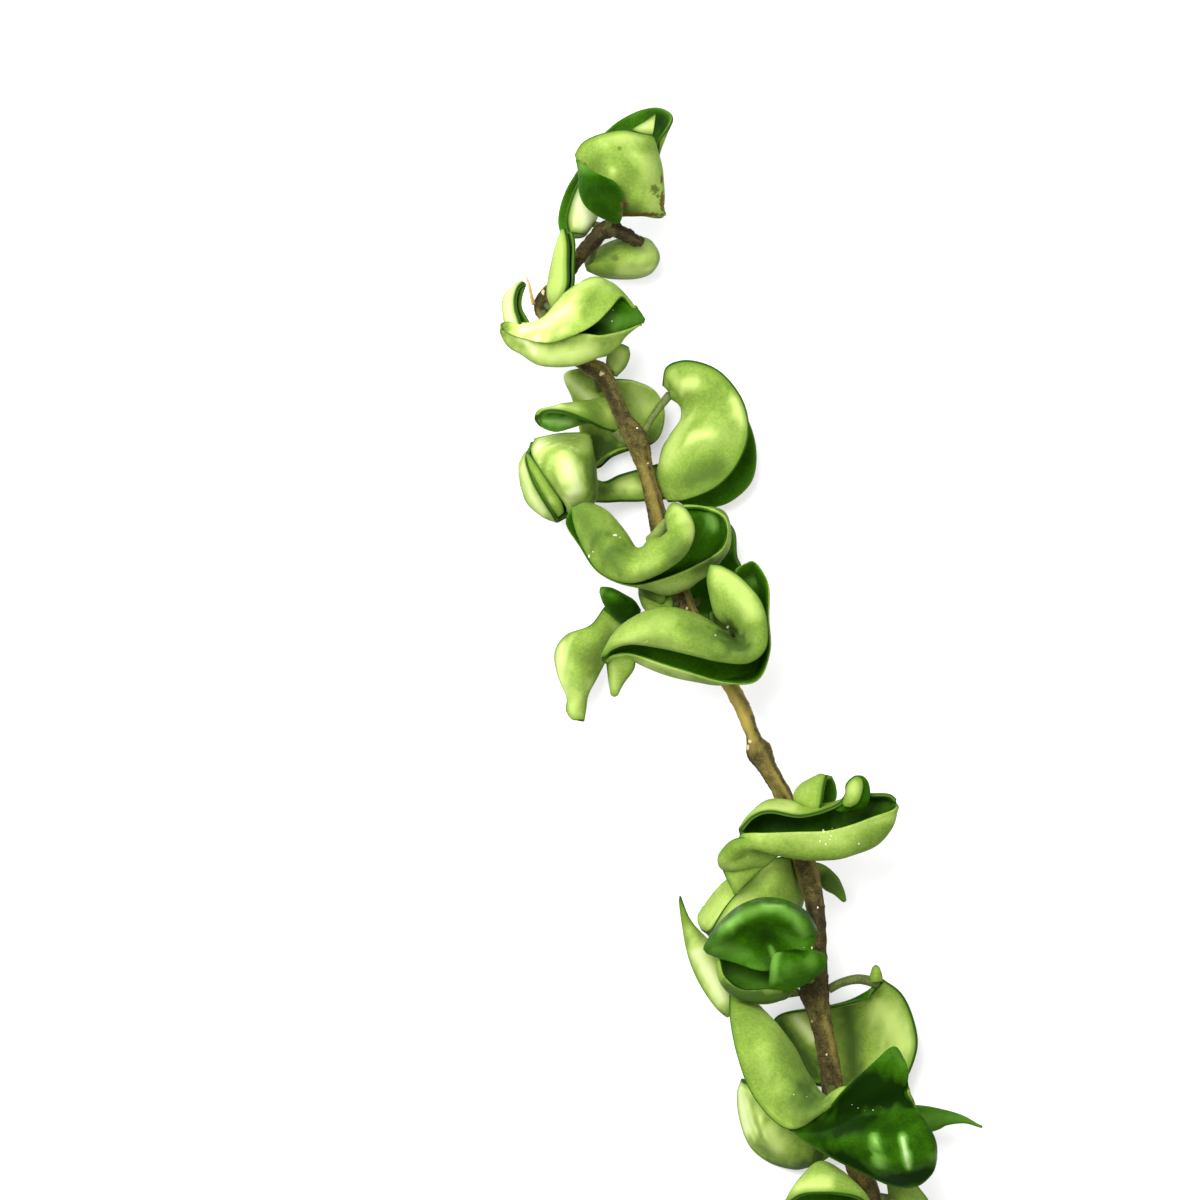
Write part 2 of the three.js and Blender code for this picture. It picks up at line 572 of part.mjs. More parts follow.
// Sixth node, left leaf: a twisted pale blade that ends blunt, and its dark upper lobe
addLeaf("leaf_n6_left", {
  stalk: [[135.6, 122, 18.4, 0.8], [132, 123.4, 18, 0.8], [127, 123.6, 20, 0.9]],
  blades: [
    {
      rows: [
        [120.8, 121.4, 21.4,  122.6, 122.6, 21.8,  125, 124.6, 21],
        [118, 125, 17,  120.6, 126.4, 18.5,  124, 128, 16.5],
        [113.2, 127, 13.5,  117.6, 129, 17.5,  122.4, 130.4, 14.5],
        [111, 130.4, 9.5,  115.6, 132.4, 15.5,  120.8, 133, 12.5],
        [111.6, 135, 9.5,  115, 136, 14.5,  119.2, 136, 11.5],
        [113.4, 139.4, 10.5,  115.4, 139.6, 13.5,  117.6, 139, 11.5],
        [113.2, 142.2, 11.5,  115, 142.4, 12.5,  117.2, 142, 11.5],
        [114.4, 143.8, 11.5,  115.6, 144.2, 12,  116.8, 144.4, 11.5],
      ],
    },
    {
      rows: [
        [120.2, 117.4, 23.5,  120.3, 117.8, 23.7,  120.3, 118.4, 23.5],
        [122.4, 117.6, 24.5,  121.6, 119.2, 25.5,  120.8, 120.6, 23.5],
        [124.8, 118.8, 24,  123.6, 120.6, 25.2,  122.2, 123, 22.5],
        [126.8, 120, 23,  125.6, 122.4, 24,  124.6, 124.8, 21.5],
        [128, 121.8, 20,  127.4, 123.6, 20.4,  126.8, 125.2, 19.4],
      ],
    },
  ],
});

// Sixth node, front leaf: the long wave round a deep hollow, and its pointed end
addLeaf("leaf_n6_front", {
  stalk: [[140.4, 126, 19.6, 0.9], [143, 127, 23, 0.9], [145.4, 127, 29.6, 1]],
  blades: [
    {
      rows: [
        [141.8, 112.7, 33.4,  141.4, 116, 33.8,  143.6, 123, 31,  146, 117.4, 28,  147, 114, 31],
        [144.4, 113.2, 34.4,  144.6, 118.4, 36,  144.6, 124, 31.2,  149.6, 117, 26,  149, 112.8, 30.6],
        [148.4, 115.8, 35,  147.2, 120.2, 37,  145.6, 124.6, 31,  151.6, 118.6, 24,  150.9, 112.6, 30],
        [152, 120, 36,  149.6, 122.4, 37.2,  146.6, 125.4, 31,  152.2, 121.6, 24,  153.4, 116.8, 31],
        [153.4, 125, 36,  151, 125.6, 36.8,  147.4, 126.4, 30.5,  152.4, 126, 24,  153.5, 123.4, 30.6],
        [153, 129.8, 36,  150.6, 129, 36.8,  147.6, 127.6, 30.5,  152.2, 130.4, 24,  153.7, 130.4, 31],
        [149.6, 132.6, 36,  148.2, 130.2, 37.2,  146.4, 128.2, 30.5,  150, 134, 24.5,  151.2, 136, 31],
        [144, 132.4, 36,  143.4, 129, 38,  143, 125.6, 31.5,  144, 135.6, 25,  145, 136.4, 31],
        [138, 131, 36,  138, 127, 38.5,  138.6, 123.4, 32,  137.8, 135, 25.5,  138.4, 134.6, 31],
        [132, 129.6, 35,  132, 126.2, 38,  133, 122.2, 32,  131.6, 133.4, 26,  132.4, 132.8, 31],
        [126, 128.8, 34,  126, 127.2, 35.6,  127, 123.8, 31.5,  126, 131, 27,  126.4, 130.8, 30.5],
        [122.4, 130, 32,  122.4, 129, 32.6,  122.8, 127.6, 30.5,  122.4, 131.4, 28.5,  122.6, 131, 30],
        [120.6, 132, 30.5,  120.7, 131.8, 30.5,  120.8, 131.4, 30,  120.8, 132.4, 29.5,  120.8, 132.2, 30],
      ],
    },
    {
      rows: [
        [121.2, 132, 28.5,  123.6, 130.6, 29.5,  127.2, 131, 28.5],
        [121.4, 134, 26.5,  124, 133.6, 27.5,  126.8, 133.8, 26.5],
        [121.8, 136.4, 24.5,  123.2, 136.8, 25.5,  124.8, 136.4, 24.5],
        [122.4, 138.8, 23.5,  122.8, 139.2, 23.6,  123.4, 138.6, 23.5],
      ],
    },
    {
      rows: [
        [141.8, 122.6, 27.6,  141.9, 124.4, 27.4,  142.2, 126.6, 28.4],
        [143, 121.8, 26.6,  143.4, 124.6, 26,  144.4, 127.8, 27.6],
        [144.4, 120.6, 26.6,  145.2, 124.4, 25.6,  146.8, 128.8, 27.4],
        [145.4, 119.2, 27.6,  146.6, 122.8, 26.6,  148.6, 127.4, 28],
      ],
    },
  ],
});

// Eighth node, front leaf: a long boat with a lobe curled down at its left,
// an upright fold and a small curl on its back edge
addLeaf("leaf_n8_front", {
  stalk: [[160.8, 171, 19.6, 0.9], [162, 169.8, 22, 0.9], [163.8, 168.6, 26, 1]],
  blades: [
    {
      rows: [
        [179.3, 160.7, 30.4,  179.2, 161, 29.4,  179, 160.7, 27.6,  178.9, 160.1, 28.6,  179.1, 160, 30.2],
        [178.4, 161.8, 32.4,  178, 165, 30,  176.4, 163.6, 24.6,  176.4, 160, 24.6,  177.6, 158.9, 30.6],
        [174.4, 163.2, 34,  174.8, 168.6, 31,  173, 166, 24,  172.4, 160, 23,  174, 158.8, 31],
        [170, 164.8, 35,  169.6, 170.6, 32,  169, 167.6, 25,  169.2, 161, 25,  171.4, 158.6, 33],
        [165, 166, 35,  164.4, 171.4, 32,  164.4, 168.4, 26,  165, 161.6, 26,  166, 161.6, 33],
        [159, 166.2, 35,  158.6, 171, 31.6,  159, 168, 26,  159.4, 161, 26,  160, 163.2, 34],
        [153, 166.4, 34.6,  152.6, 169.6, 32.6,  153, 168, 26,  153.8, 160.6, 26,  154, 162.3, 34],
        [150.2, 166.4, 33.6,  149.8, 168.8, 32,  150.2, 167.6, 28,  150.3, 163.2, 28,  150.6, 163.3, 33],
        [148, 166.6, 32.4,  147.9, 167, 31.8,  148.2, 167, 30.4,  148, 166, 30.8,  148.2, 165.9, 32],
      ],
    },
    {
      rows: [
        [158, 167, 33.2,  158, 168.6, 32.2,  158, 169.8, 30],
        [151.6, 166.9, 33.2,  151.8, 168.8, 32.6,  152.4, 169.6, 30],
        [146.8, 167.6, 32,  148, 169.4, 32.6,  151.6, 169.6, 29.6],
        [144.3, 169.8, 30,  146.2, 170.8, 31.6,  151.4, 169.6, 29],
        [143.5, 171.8, 28.6,  145.8, 172, 30.4,  152.2, 169.6, 28.4],
        [144.4, 173.7, 27.4,  147.4, 173, 29.2,  153.6, 169.6, 27.8],
        [148, 174, 26.6,  150.6, 172.8, 27.8,  155.6, 169.6, 27.2],
        [152.4, 173.4, 26,  154, 172.2, 26.8,  157.6, 169.4, 26.8],
      ],
    },
    {
      rows: [
        [144, 172.8, 27.4,  148, 173, 28,  153.4, 172.6, 26.4],
        [145.2, 175.6, 26.2,  147.6, 175.6, 26.8,  151, 175, 26],
        [146.5, 178, 25.4,  147.2, 178.1, 25.6,  148.2, 177.4, 25.4],
        [147, 178.8, 25.2,  147.2, 178.8, 25.2,  147.5, 178.6, 25.2],
      ],
    },
    {
      bulge: [0.1, 0.1],
      rows: [
        [163.8, 163, 31,  159.6, 160.6, 27,  165.2, 162.4, 26],
        [164.4, 160, 32,  159.2, 159, 26,  167.2, 159.8, 25],
        [164.8, 157.2, 32,  160.6, 157, 26,  167.2, 157.2, 25],
        [165.4, 155, 30,  164.4, 155.2, 27,  166.4, 155.2, 26],
      ],
    },
    {
      rows: [
        [166.6, 161.6, 31,  167.6, 162, 31.4,  169, 162.2, 31.4],
        [168.8, 158.8, 31.8,  170.6, 160.2, 33.4,  172.8, 161.4, 31.8],
        [169, 156.8, 32.2,  171.4, 157.8, 34,  173.8, 159, 32.4],
        [170, 155.6, 32.6,  172, 156, 33.8,  173.6, 157, 32.8],
        [171, 155.3, 32.8,  171.8, 155.3, 33,  172.6, 155.7, 32.8],
      ],
    },
    {
      rows: [
        [168.4, 160.8, 33.2,  168.9, 161.1, 33.6,  169.6, 161.2, 33.4],
        [168.9, 158.7, 33.4,  170, 159.6, 34.8,  171.5, 160.3, 34.2],
        [169.3, 156.9, 33.8,  170.6, 157.6, 35.4,  172.3, 158.3, 34.6],
        [170.3, 155.9, 34,  171.2, 156.3, 35,  172.4, 156.9, 34.6],
        [171.2, 155.6, 34,  171.5, 155.7, 34.2,  171.9, 155.9, 34.2],
      ],
    },
  ],
});

// Eighth node, back leaf: folded behind the stem, its pointed end out to the right
addLeaf("leaf_n8_back", {
  stalk: [[160.4, 173, 14.6, 0.9], [159.4, 173.8, 12.6, 0.9], [158, 174.4, 11.6, 1]],
  blades: [
    {
      rows: [
        [153.6, 172.4, 19,  156.2, 171.4, 20,  158.4, 172.2, 12,  153.4, 173, 10,  154.2, 172.8, 17],
        [150.2, 176, 20.4,  155.6, 176.4, 21,  159.4, 177, 12,  148.4, 175.4, 10,  151, 176.4, 17.6],
        [147.2, 178.8, 20.4,  153.6, 180, 21,  160, 181, 11,  145.2, 177.4, 10,  148.2, 179.4, 17.4],
        [144.6, 182, 19.6,  150, 183.6, 20,  156, 186, 10,  142.4, 180.6, 9,  145.6, 182.6, 16.6],
        [142.6, 185.4, 17.4,  145, 186, 17,  148, 188, 10,  140.2, 183.8, 8,  143, 185.8, 14.8],
        [141.6, 186.8, 14,  141.8, 187, 14,  142.2, 187.4, 12,  141, 186.4, 10,  141.6, 186.8, 12.4],
      ],
    },
    {
      rows: [
        [158, 177, 11.5,  158, 175, 11,  158, 172.6, 11.5],
        [163, 176, 11,  163.6, 174.2, 11.5,  164, 172.8, 11],
        [165, 178, 11,  166, 177, 12,  167.4, 175.2, 11],
        [167, 179, 11,  167.8, 178.4, 11.8,  168.6, 177.4, 11],
        [169, 180.6, 11,  169.2, 180.6, 11,  169.5, 180.2, 11],
      ],
    },
  ],
});

// Ninth node, front leaf: a dark hood over a hollow, with a side lobe and the bowl below
addLeaf("leaf_n9_dome", {
  stalk: [[162.2, 196.2, 19.8, 0.9], [160.6, 193.6, 23.5, 0.9], [158.2, 191.2, 26.4, 1]],
  color: UPPER_GREEN,
  blades: [
    {
      rows: [
        [140.8, 189.4, 32,  140.9, 189.6, 32.2,  141.1, 189.8, 32.3,  141.2, 190, 32.2,  141.4, 190.2, 32],
        [143, 185.6, 33,  143.6, 186.9, 36.4,  144, 188.6, 35.4,  144, 190.2, 34.2,  143.9, 191.4, 33],
        [147, 181.6, 33,  147.5, 183.7, 38.6,  147.8, 187, 35,  147.7, 190.2, 33,  147.5, 192.6, 33.4],
        [152, 179.5, 33.2,  152.2, 182, 39.6,  152.5, 186.2, 35.4,  152.6, 190.6, 33,  152.4, 194, 33.6],
        [157, 180, 33.2,  157, 182.6, 39.2,  157, 186.4, 35.6,  156.8, 190, 34,  156.6, 193.2, 34.4],
        [161, 182.2, 33,  160.8, 184.2, 37.8,  160.4, 186.8, 36,  160.2, 189.2, 35.4,  160, 191, 34.8],
        [163, 185.4, 32.5,  162.9, 186.4, 34.6,  162.8, 187.4, 34.8,  162.7, 188.4, 34.6,  162.6, 189.4, 33.5],
      ],
    },
    {
      rows: [
        [154.4, 190.4, 35.2,  153.8, 193.4, 35.5,  153.6, 197.2, 32.8],
        [157.2, 189.8, 35.6,  157.6, 193.6, 36.6,  157.8, 197.8, 32.4],
        [161, 189.4, 35,  161.8, 192.8, 35,  161.8, 196, 31.8],
        [164.6, 190.4, 32.5,  165, 192, 32.6,  164.4, 194, 31.4],
      ],
    },
    {
      rows: [
        [143.8, 191.6, 32,  143.6, 193, 30,  144, 189, 27,  143.4, 185.8, 32.6],
        [144.8, 195, 32,  144.7, 196.4, 29.4,  146.4, 190, 25,  146.6, 182.2, 32.8],
        [148, 197.5, 32.5,  148, 198.9, 29.4,  149, 191, 24.4,  149.6, 180.6, 32.8],
        [152.6, 197.6, 32.5,  152.5, 199.9, 29.4,  153, 191, 24.4,  153.4, 179.9, 32.8],
        [156.4, 197.2, 31.4,  156.3, 199.2, 29,  156.6, 190.6, 25,  157, 180.4, 32.8],
        [158.4, 196.6, 30.4,  158, 197.8, 28.6,  159, 190, 27,  160.4, 182.2, 32.8],
      ],
    },
  ],
});

// Ninth node, left leaf with a long pointed tip
addLeaf("leaf_n9_left", {
  stalk: [[160, 198.6, 17, 0.8], [154, 199.4, 16.6, 0.8], [148, 199.6, 17, 0.9]],
  blades: [
    {
      rows: [
        [135.8, 179, 27,  136, 179.2, 27,  136.2, 179.2, 27],
        [136.4, 184, 25,  137.2, 184.4, 25.5,  138.2, 184, 25],
        [137, 188.4, 23,  139.4, 188.6, 25,  142, 188.4, 22],
        [138.2, 193, 21,  141.6, 192.8, 23,  146, 192, 19],
        [140.4, 197.6, 19,  143.6, 196.8, 21.5,  148, 196, 17],
        [143.2, 201.6, 18,  145.6, 200.4, 20,  149, 199.4, 16.5],
        [145.4, 203.6, 17,  147.4, 202.8, 18,  149.6, 202.4, 16],
      ],
    },
  ],
});

// Ninth node, right leaf on a long arched stalk, dished behind the stem
addLeaf("leaf_n9_right", {
  stalk: [[165.8, 198, 17.6, 0.9], [168.6, 196.6, 17.4, 0.9], [172, 196, 16, 1], [175.6, 196.8, 14, 1.1]],
  blades: [
    {
      rows: [
        [174, 200, 13,  175.4, 197.4, 14,  176.8, 196, 13.5],
        [166, 201.8, 9,  173.6, 200.6, 10,  180.4, 198.8, 12.5],
        [156, 203.4, 8,  170, 205, 5,  182.6, 203, 11.5],
        [154.5, 208, 7.5,  169.5, 210, 3,  183.8, 208.6, 11],
        [156, 213, 7.5,  169.5, 214.6, 3,  182.8, 213.4, 10.5],
        [160, 217, 8,  169.8, 218.4, 5,  180.4, 218.4, 10],
      ],
    },
    {
      rows: [
        [173.8, 197, 14.2,  175.2, 196.8, 15.4,  176.8, 196.6, 14.4],
        [174.3, 195, 15,  175.3, 194.9, 15.8,  176.4, 194.8, 15],
        [174.9, 193.3, 15.2,  175.3, 193.2, 15.4,  175.7, 193.3, 15.2],
      ],
    },
  ],
});

// Tenth node, front leaf: the long pale fold and the dark bulging half beside it
addLeaf("leaf_n10_front", {
  stalk: [[166.4, 218, 19.6, 1], [166.4, 219, 25, 1], [166, 219.6, 31.6, 1.1]],
  blades: [
    {
      rows: [
        [145.8, 198.8, 24.6,  148.4, 199.4, 25,  151.6, 201.6, 24.4,  149, 202.2, 22.2,  146, 200.2, 22.8],
        [146, 204.2, 31,  150.4, 204.4, 33.6,  154.6, 204.6, 29.6,  151, 205.4, 25.5,  147, 205, 27.6],
        [147.4, 211, 34,  153, 210, 37,  158.4, 209.6, 31.5,  154, 211, 26.5,  148.6, 211.6, 29],
        [150, 218, 34.5,  156, 216, 37.2,  161.6, 215.6, 31.5,  157, 217.6, 26.5,  151.6, 218.6, 30],
        [154.4, 223.6, 35.5,  159.2, 220.6, 37.5,  164, 218.6, 32,  160, 222.4, 27,  155.6, 224, 31],
        [158.4, 225.4, 36.5,  162.4, 222, 38,  165.6, 219.6, 32.5,  164, 225, 28,  160, 226.6, 32],
        [163, 222.6, 37,  165, 220.8, 37.4,  166.6, 218.6, 33,  168, 223, 30,  166, 226, 33],
        [166.4, 219.8, 36.4,  167.6, 218.8, 36,  168.6, 217.6, 33.6,  169.4, 220, 31.5,  169, 222, 32.6],
        [169.6, 217.6, 35,  169.8, 217.6, 34.8,  170, 217.6, 34,  170.4, 218.2, 32.8,  170.4, 218.8, 32.8],
      ],
    },
    {
      rows: [
        [158.2, 225.6, 34.5,  158.4, 225.8, 34.5,  158.6, 226, 34.4,  158.8, 226.2, 34.4,  159, 226.4, 34.4],
        [164, 222.4, 37,  164.3, 223.8, 35.4,  164.7, 225.6, 34.7,  165.2, 228, 34.9,  165.4, 230.8, 33],
        [169.2, 216.8, 37.8,  170.1, 219.6, 35.6,  171, 222.8, 34.3,  172, 228.8, 36.2,  172.6, 234.4, 31.8],
        [173.6, 212.8, 38.2,  175, 217.2, 36.4,  176.2, 221.8, 34.2,  177.6, 229.8, 38.2,  178.4, 236.9, 31.4],
        [178.3, 208.8, 38.2,  179.8, 214.6, 37,  180.4, 220.8, 34.4,  182.2, 229, 38.7,  183, 237, 31.6],
        [180.6, 211.4, 37.6,  180.9, 216.8, 36.6,  181.9, 220.5, 33.8,  185.3, 228, 38.4,  186, 234.6, 33.6],
        [181.5, 214, 37,  181.1, 217.7, 36.4,  182.7, 220.9, 34.2,  186.3, 227, 36.8,  187, 231.4, 34.4],
      ],
    },
  ],
});

// Tenth node, back leaf: a pale lobe at the left and a dark pointed end at the right
addLeaf("leaf_n10_back", {
  stalk: [[166.6, 218.4, 14.8, 0.9], [166.6, 220.4, 12, 0.9], [167, 223, 8.8, 1]],
  blades: [
    {
      rows: [
        [148.4, 216, 13,  149.6, 216.6, 14,  151.4, 217.4, 13],
        [147.6, 219.4, 8.5,  151, 219, 14,  155, 219, 12],
        [148.2, 224.6, 5,  153, 223, 13.5,  158, 221.6, 10.5],
        [150.2, 229.8, 3.2,  155.6, 227, 13,  161, 224.6, 10],
        [154, 233, 3.2,  159, 230, 12.4,  164, 227.4, 9],
        [159, 234.4, 5,  162.6, 232, 11.6,  167, 229.6, 9],
        [162, 233.8, 8,  164.6, 232.4, 10.6,  168, 231, 9],
      ],
    },
    {
      rows: [
        [160, 222, 9.6,  160, 226, 9,  160, 230, 10.4],
        [166, 222, 9,  166.6, 226, 8,  167, 230, 9],
        [174, 221, 9,  174.6, 225, 8,  175, 229.4, 9],
        [184, 221.4, 11,  185, 224, 11.5,  186.6, 226.8, 11],
        [189, 222.2, 13,  189.4, 223.8, 13.5,  189.8, 225.4, 13],
        [193, 223.4, 15,  193.2, 224.2, 15.2,  193.4, 225, 15],
        [196.4, 225.4, 17,  196.5, 225.6, 17,  196.6, 225.8, 17],
      ],
    },
  ],
});

// Eleventh node, left leaf
addLeaf("leaf_n11_left", {
  stalk: [[173.4, 239.6, 18.8, 0.9], [172.6, 239.4, 22, 0.9], [171.8, 238.8, 25.4, 1]],
  blades: [
    {
      bulge: [0.12, 0.2],
      rows: [
        [157, 241.4, 26,  157.6, 240.4, 24.5,  157.4, 242.2, 22],
        [160, 239, 30,  160.6, 235.6, 26,  160, 243.4, 20],
        [164, 238.4, 32,  164, 232.8, 26.5,  164.4, 245, 19],
        [168, 238.6, 32,  168, 234.6, 26,  169, 246, 19.5],
        [171.4, 239.4, 31,  171.2, 237.6, 25.5,  173, 245.6, 21],
        [174, 241.6, 28,  173.6, 241, 25,  175, 244.4, 23],
      ],
    },
  ],
});

// Eleventh node, right leaf
addLeaf("leaf_n11_right", {
  stalk: [[176.2, 239.6, 16.4, 0.8], [177.4, 239.8, 16.6, 0.8], [179, 240, 18, 0.9]],
  blades: [
    {
      rows: [
        [177.4, 236.6, 19,  180, 236, 21,  183.4, 237, 19],
        [178, 240, 16,  181.4, 240, 20,  185.6, 240, 15],
        [178.6, 243.6, 14,  182.4, 244, 18,  187, 243.4, 12],
        [180.4, 247, 13,  183.4, 247.4, 16,  186.8, 246.6, 12],
        [182.4, 249.4, 13,  183.6, 249.6, 14,  185, 249.2, 13],
      ],
    },
  ],
});

// The frame's origin is the middle of the bounding box at the ground
const box = new THREE.Box3().setFromObject(plant);
const centre = box.getCenter(new THREE.Vector3());
plant.children.forEach((node) => {
  node.geometry.translate(-centre.x, -centre.y, -box.min.z);
});

export default plant;
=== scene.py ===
# Cut length of a rope-leaved hoya vine, seen from straight above: a brown stem and 24 thick folded leaves.
import math

import bpy
import numpy as np
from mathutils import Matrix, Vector


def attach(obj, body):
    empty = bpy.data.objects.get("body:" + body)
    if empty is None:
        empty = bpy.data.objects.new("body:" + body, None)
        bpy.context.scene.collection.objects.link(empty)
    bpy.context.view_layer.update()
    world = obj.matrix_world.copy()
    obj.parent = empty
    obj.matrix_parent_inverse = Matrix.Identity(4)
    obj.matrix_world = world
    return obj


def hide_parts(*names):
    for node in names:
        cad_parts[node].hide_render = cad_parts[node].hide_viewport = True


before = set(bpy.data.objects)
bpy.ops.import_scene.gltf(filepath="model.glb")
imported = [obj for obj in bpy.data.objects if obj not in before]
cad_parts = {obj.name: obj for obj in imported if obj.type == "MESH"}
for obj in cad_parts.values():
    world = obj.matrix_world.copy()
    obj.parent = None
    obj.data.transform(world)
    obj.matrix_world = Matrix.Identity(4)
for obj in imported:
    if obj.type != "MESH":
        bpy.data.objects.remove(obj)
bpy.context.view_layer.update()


# Where it lies and how it is seen: the cutting rests on a white sheet of paper under soft daylight from the
# upper left, and the camera looks straight down on a square of 240 mm. The tables below measure that square.
FRAME_SIDE = 240.0               # mm; a table point is mm right of, below and above one corner of the square
FRAME_CENTRE = (-28.3446, 16.9299)   # mm; where the middle of the square lies in the model's frame
GROUND_LEVEL = 2.9               # mm; table height of the surface that the lowest leaves rest on
MM = 0.001
CAMERA_DISTANCE = 3.0
CAMERA_RANGE = 20
SENSOR_WIDTH = 36.0
FOCUS_HEIGHT = 0.02
CEILING_LIGHT = 1.1              # strength of the sky overhead
HORIZON = -0.2                   # height at which it has faded to nothing, a little below the horizon
WHITE = (1, 1, 1, 1)
PAPER_WHITE = (0.55, 0.55, 0.545, 1)
PAPER_GREY = (0.51, 0.515, 0.51, 1)
PAPER_GLOW = 0.45                # light from under the sheet, seen by the camera only
HALF_SHEET = 2.0


def placed(points):
    """Table points in the model's frame, still in mm."""
    corner = (FRAME_SIDE / 2, FRAME_SIDE / 2, GROUND_LEVEL)
    return (np.array(points, float) - corner) * (1, -1, 1) + (*FRAME_CENTRE, 0)


def link(name, data):
    made = bpy.data.objects.new(name, data)
    bpy.context.scene.collection.objects.link(made)
    return made


def feed(tree, socket, value):
    """Joins the output of another node to an input, or gives the input its value."""
    if isinstance(value, bpy.types.NodeSocket):
        tree.links.new(value, socket)
    else:
        socket.default_value = value


def add(tree, kind, *inputs, out=0, **settings):
    """A shader node. Gives its output out; inputs come in order or by name, as do the node's properties."""
    node = tree.nodes.new("ShaderNode" + kind)
    for socket, value in zip(node.inputs, inputs):
        feed(tree, socket, value)
    for name, value in settings.items():
        if hasattr(node, name):
            setattr(node, name, value)
        else:
            feed(tree, node.inputs[name.replace("_", " ")], value)
    return node.outputs[out]


def new_material(name):
    material = bpy.data.materials.new(name)
    material.use_nodes = True
    return material, material.node_tree


def surface(tree, **settings):
    """Sets or joins the inputs of a material's surface shader."""
    for name, value in settings.items():
        feed(tree, tree.nodes["Principled BSDF"].inputs[name.replace("_", " ")], value)


def lamp(name, place, size, power):
    light = bpy.data.lights.new(name, "AREA")
    light.energy = power
    light.size = size
    made = link(name, light)
    made.location = middle + Vector(place)
    made.rotation_mode = "QUATERNION"
    made.rotation_quaternion = Vector(place).to_track_quat("Z", "Y")


middle = Vector((*FRAME_CENTRE, 0)) * MM
camera = link("camera", bpy.data.cameras.new("camera"))
camera.location = middle + Vector((0, 0, FOCUS_HEIGHT + CAMERA_DISTANCE))
camera.data.sensor_width = SENSOR_WIDTH
camera.data.lens = SENSOR_WIDTH * CAMERA_DISTANCE / (FRAME_SIDE * MM)
camera.data.clip_end = CAMERA_RANGE
bpy.context.scene.camera = camera
lamp("window", place=(-0.26, 0.36, 1.1), size=0.55, power=20)
lamp("low_window", place=(-0.7, 0.6, 0.55), size=0.6, power=7)
lamp("reflector", place=(0.8, -0.2, 1.0), size=0.9, power=4)

world = bpy.data.worlds.new("room")
world.use_nodes = True
tree = world.node_tree
height = add(tree, "SeparateXYZ", add(tree, "TexCoord", out="Generated"), out="Z")
sky = tree.nodes["Background"].inputs
feed(tree, sky["Color"], WHITE)
fade = add(tree, "MapRange", height, From_Min=HORIZON, From_Max=1.0, To_Min=0.0, To_Max=CEILING_LIGHT)
feed(tree, sky["Strength"], fade)
bpy.context.scene.world = world
bpy.context.scene.view_settings.view_transform = "Standard"

paper, tree = new_material("white_paper")
fibre = add(tree, "TexNoise", Scale=900.0, Detail=6.0)
glow = add(tree, "Math", add(tree, "LightPath", out="Is Camera Ray"), PAPER_GLOW, operation="MULTIPLY")
surface(tree, Base_Color=add(tree, "MixRGB", fibre, PAPER_GREY, PAPER_WHITE), Roughness=0.9,
        Emission_Color=WHITE, Emission_Strength=glow)
sheet = bpy.data.meshes.new("paper_sheet")
corners = [(x * HALF_SHEET, y * HALF_SHEET, 0) for x, y in ((-1, -1), (1, -1), (1, 1), (-1, 1))]
sheet.from_pydata(corners, [], [(0, 1, 2, 3)])
sheet.materials.append(paper)
link("paper_sheet", sheet)


# The stem: a woody vine stem, brown over green, that thickens at each node. It grew in a zigzag from leaf to
# leaf. Its thin skin splits into speckles and short hairs. It ends in a withered tip above and a cut below.
STEM = [                         # x, y, z and radius
    (128.4, 48.6, 22.4, 0.8), (126.6, 47.8, 23.2, 1.3), (124, 46.4, 23.4, 1.5), (121.4, 45.8, 22.6, 1.8),
    (118, 48.8, 21.5, 1.5), (115, 52.6, 20.6, 1.4), (111.6, 56.8, 19.8, 1.5), (108.8, 60.8, 19.5, 2),
    (110.8, 65.4, 19, 1.5), (114.2, 70.2, 18.5, 1.5), (117.6, 73, 18, 1.7), (120.4, 74.6, 18, 1.9),
    (122.4, 78.4, 18, 1.55), (124.6, 83.4, 18, 1.6), (127.4, 88, 18, 2.3), (129, 93.6, 18, 1.7),
    (130.8, 100, 18, 1.75), (132.2, 106.4, 18, 2), (134.4, 113.4, 18, 1.7), (137, 121, 18, 2),
    (141, 129, 17.8, 1.6), (146.4, 137.6, 17.6, 1.6), (149, 142.6, 17.4, 1.55), (150.7, 147.4, 17.3, 1.5),
    (151.8, 150.2, 17.2, 2.6), (153.8, 154, 17.1, 1.85), (157.1, 160, 16.9, 1.8), (159.6, 167, 16.9, 1.9),
    (161, 172.8, 17, 2.3), (163.1, 181, 17.2, 1.9), (163.7, 191, 17.4, 1.8), (162.9, 198, 17.4, 2.9),
    (163.7, 202, 17.3, 2.4), (165, 208, 17.1, 2.1), (166.2, 214.4, 17, 2.1), (166.8, 219, 17, 2.2),
    (169.6, 228, 16.6, 2.1), (173.6, 239, 16, 2.6), (175.4, 246, 15.7, 2.2), (177, 252, 15.5, 2.2),
]
WITHERED_THREAD = [              # x, y, z and radius; the dead end of a shoot at the second node
    (106.7, 60.9, 21.6, 0.42), (106.2, 58.8, 22.4, 0.34), (105.8, 56.8, 23, 0.3), (105.2, 55.2, 23.6, 0.1),
    (104.9, 54, 24.2, 0.05),
]
STEM_SIDES = 28
STEM_STEPS = 16
THREAD_SIDES = 10
THREAD_STEPS = 8
RINGS_FROM = (0.3, 0.2, 1.0)     # no shoot runs this way, so its rings never twist
BARK_RELIEF = 0.1                # mm, twice that where the bark is darkest
BARK_RIPPLES = ((0.6, 2.2, 3), (0.5, 0.9, 4))    # share of the relief, mm between bumps, seed
STREAK_DEPTH = 0.4
STREAKS_ROUND = 2.4              # streaks change fast round the stem and slowly along it
STREAKS_ALONG = 0.12
STREAK_WIDTH = 2.6
STREAK_SEED = 9
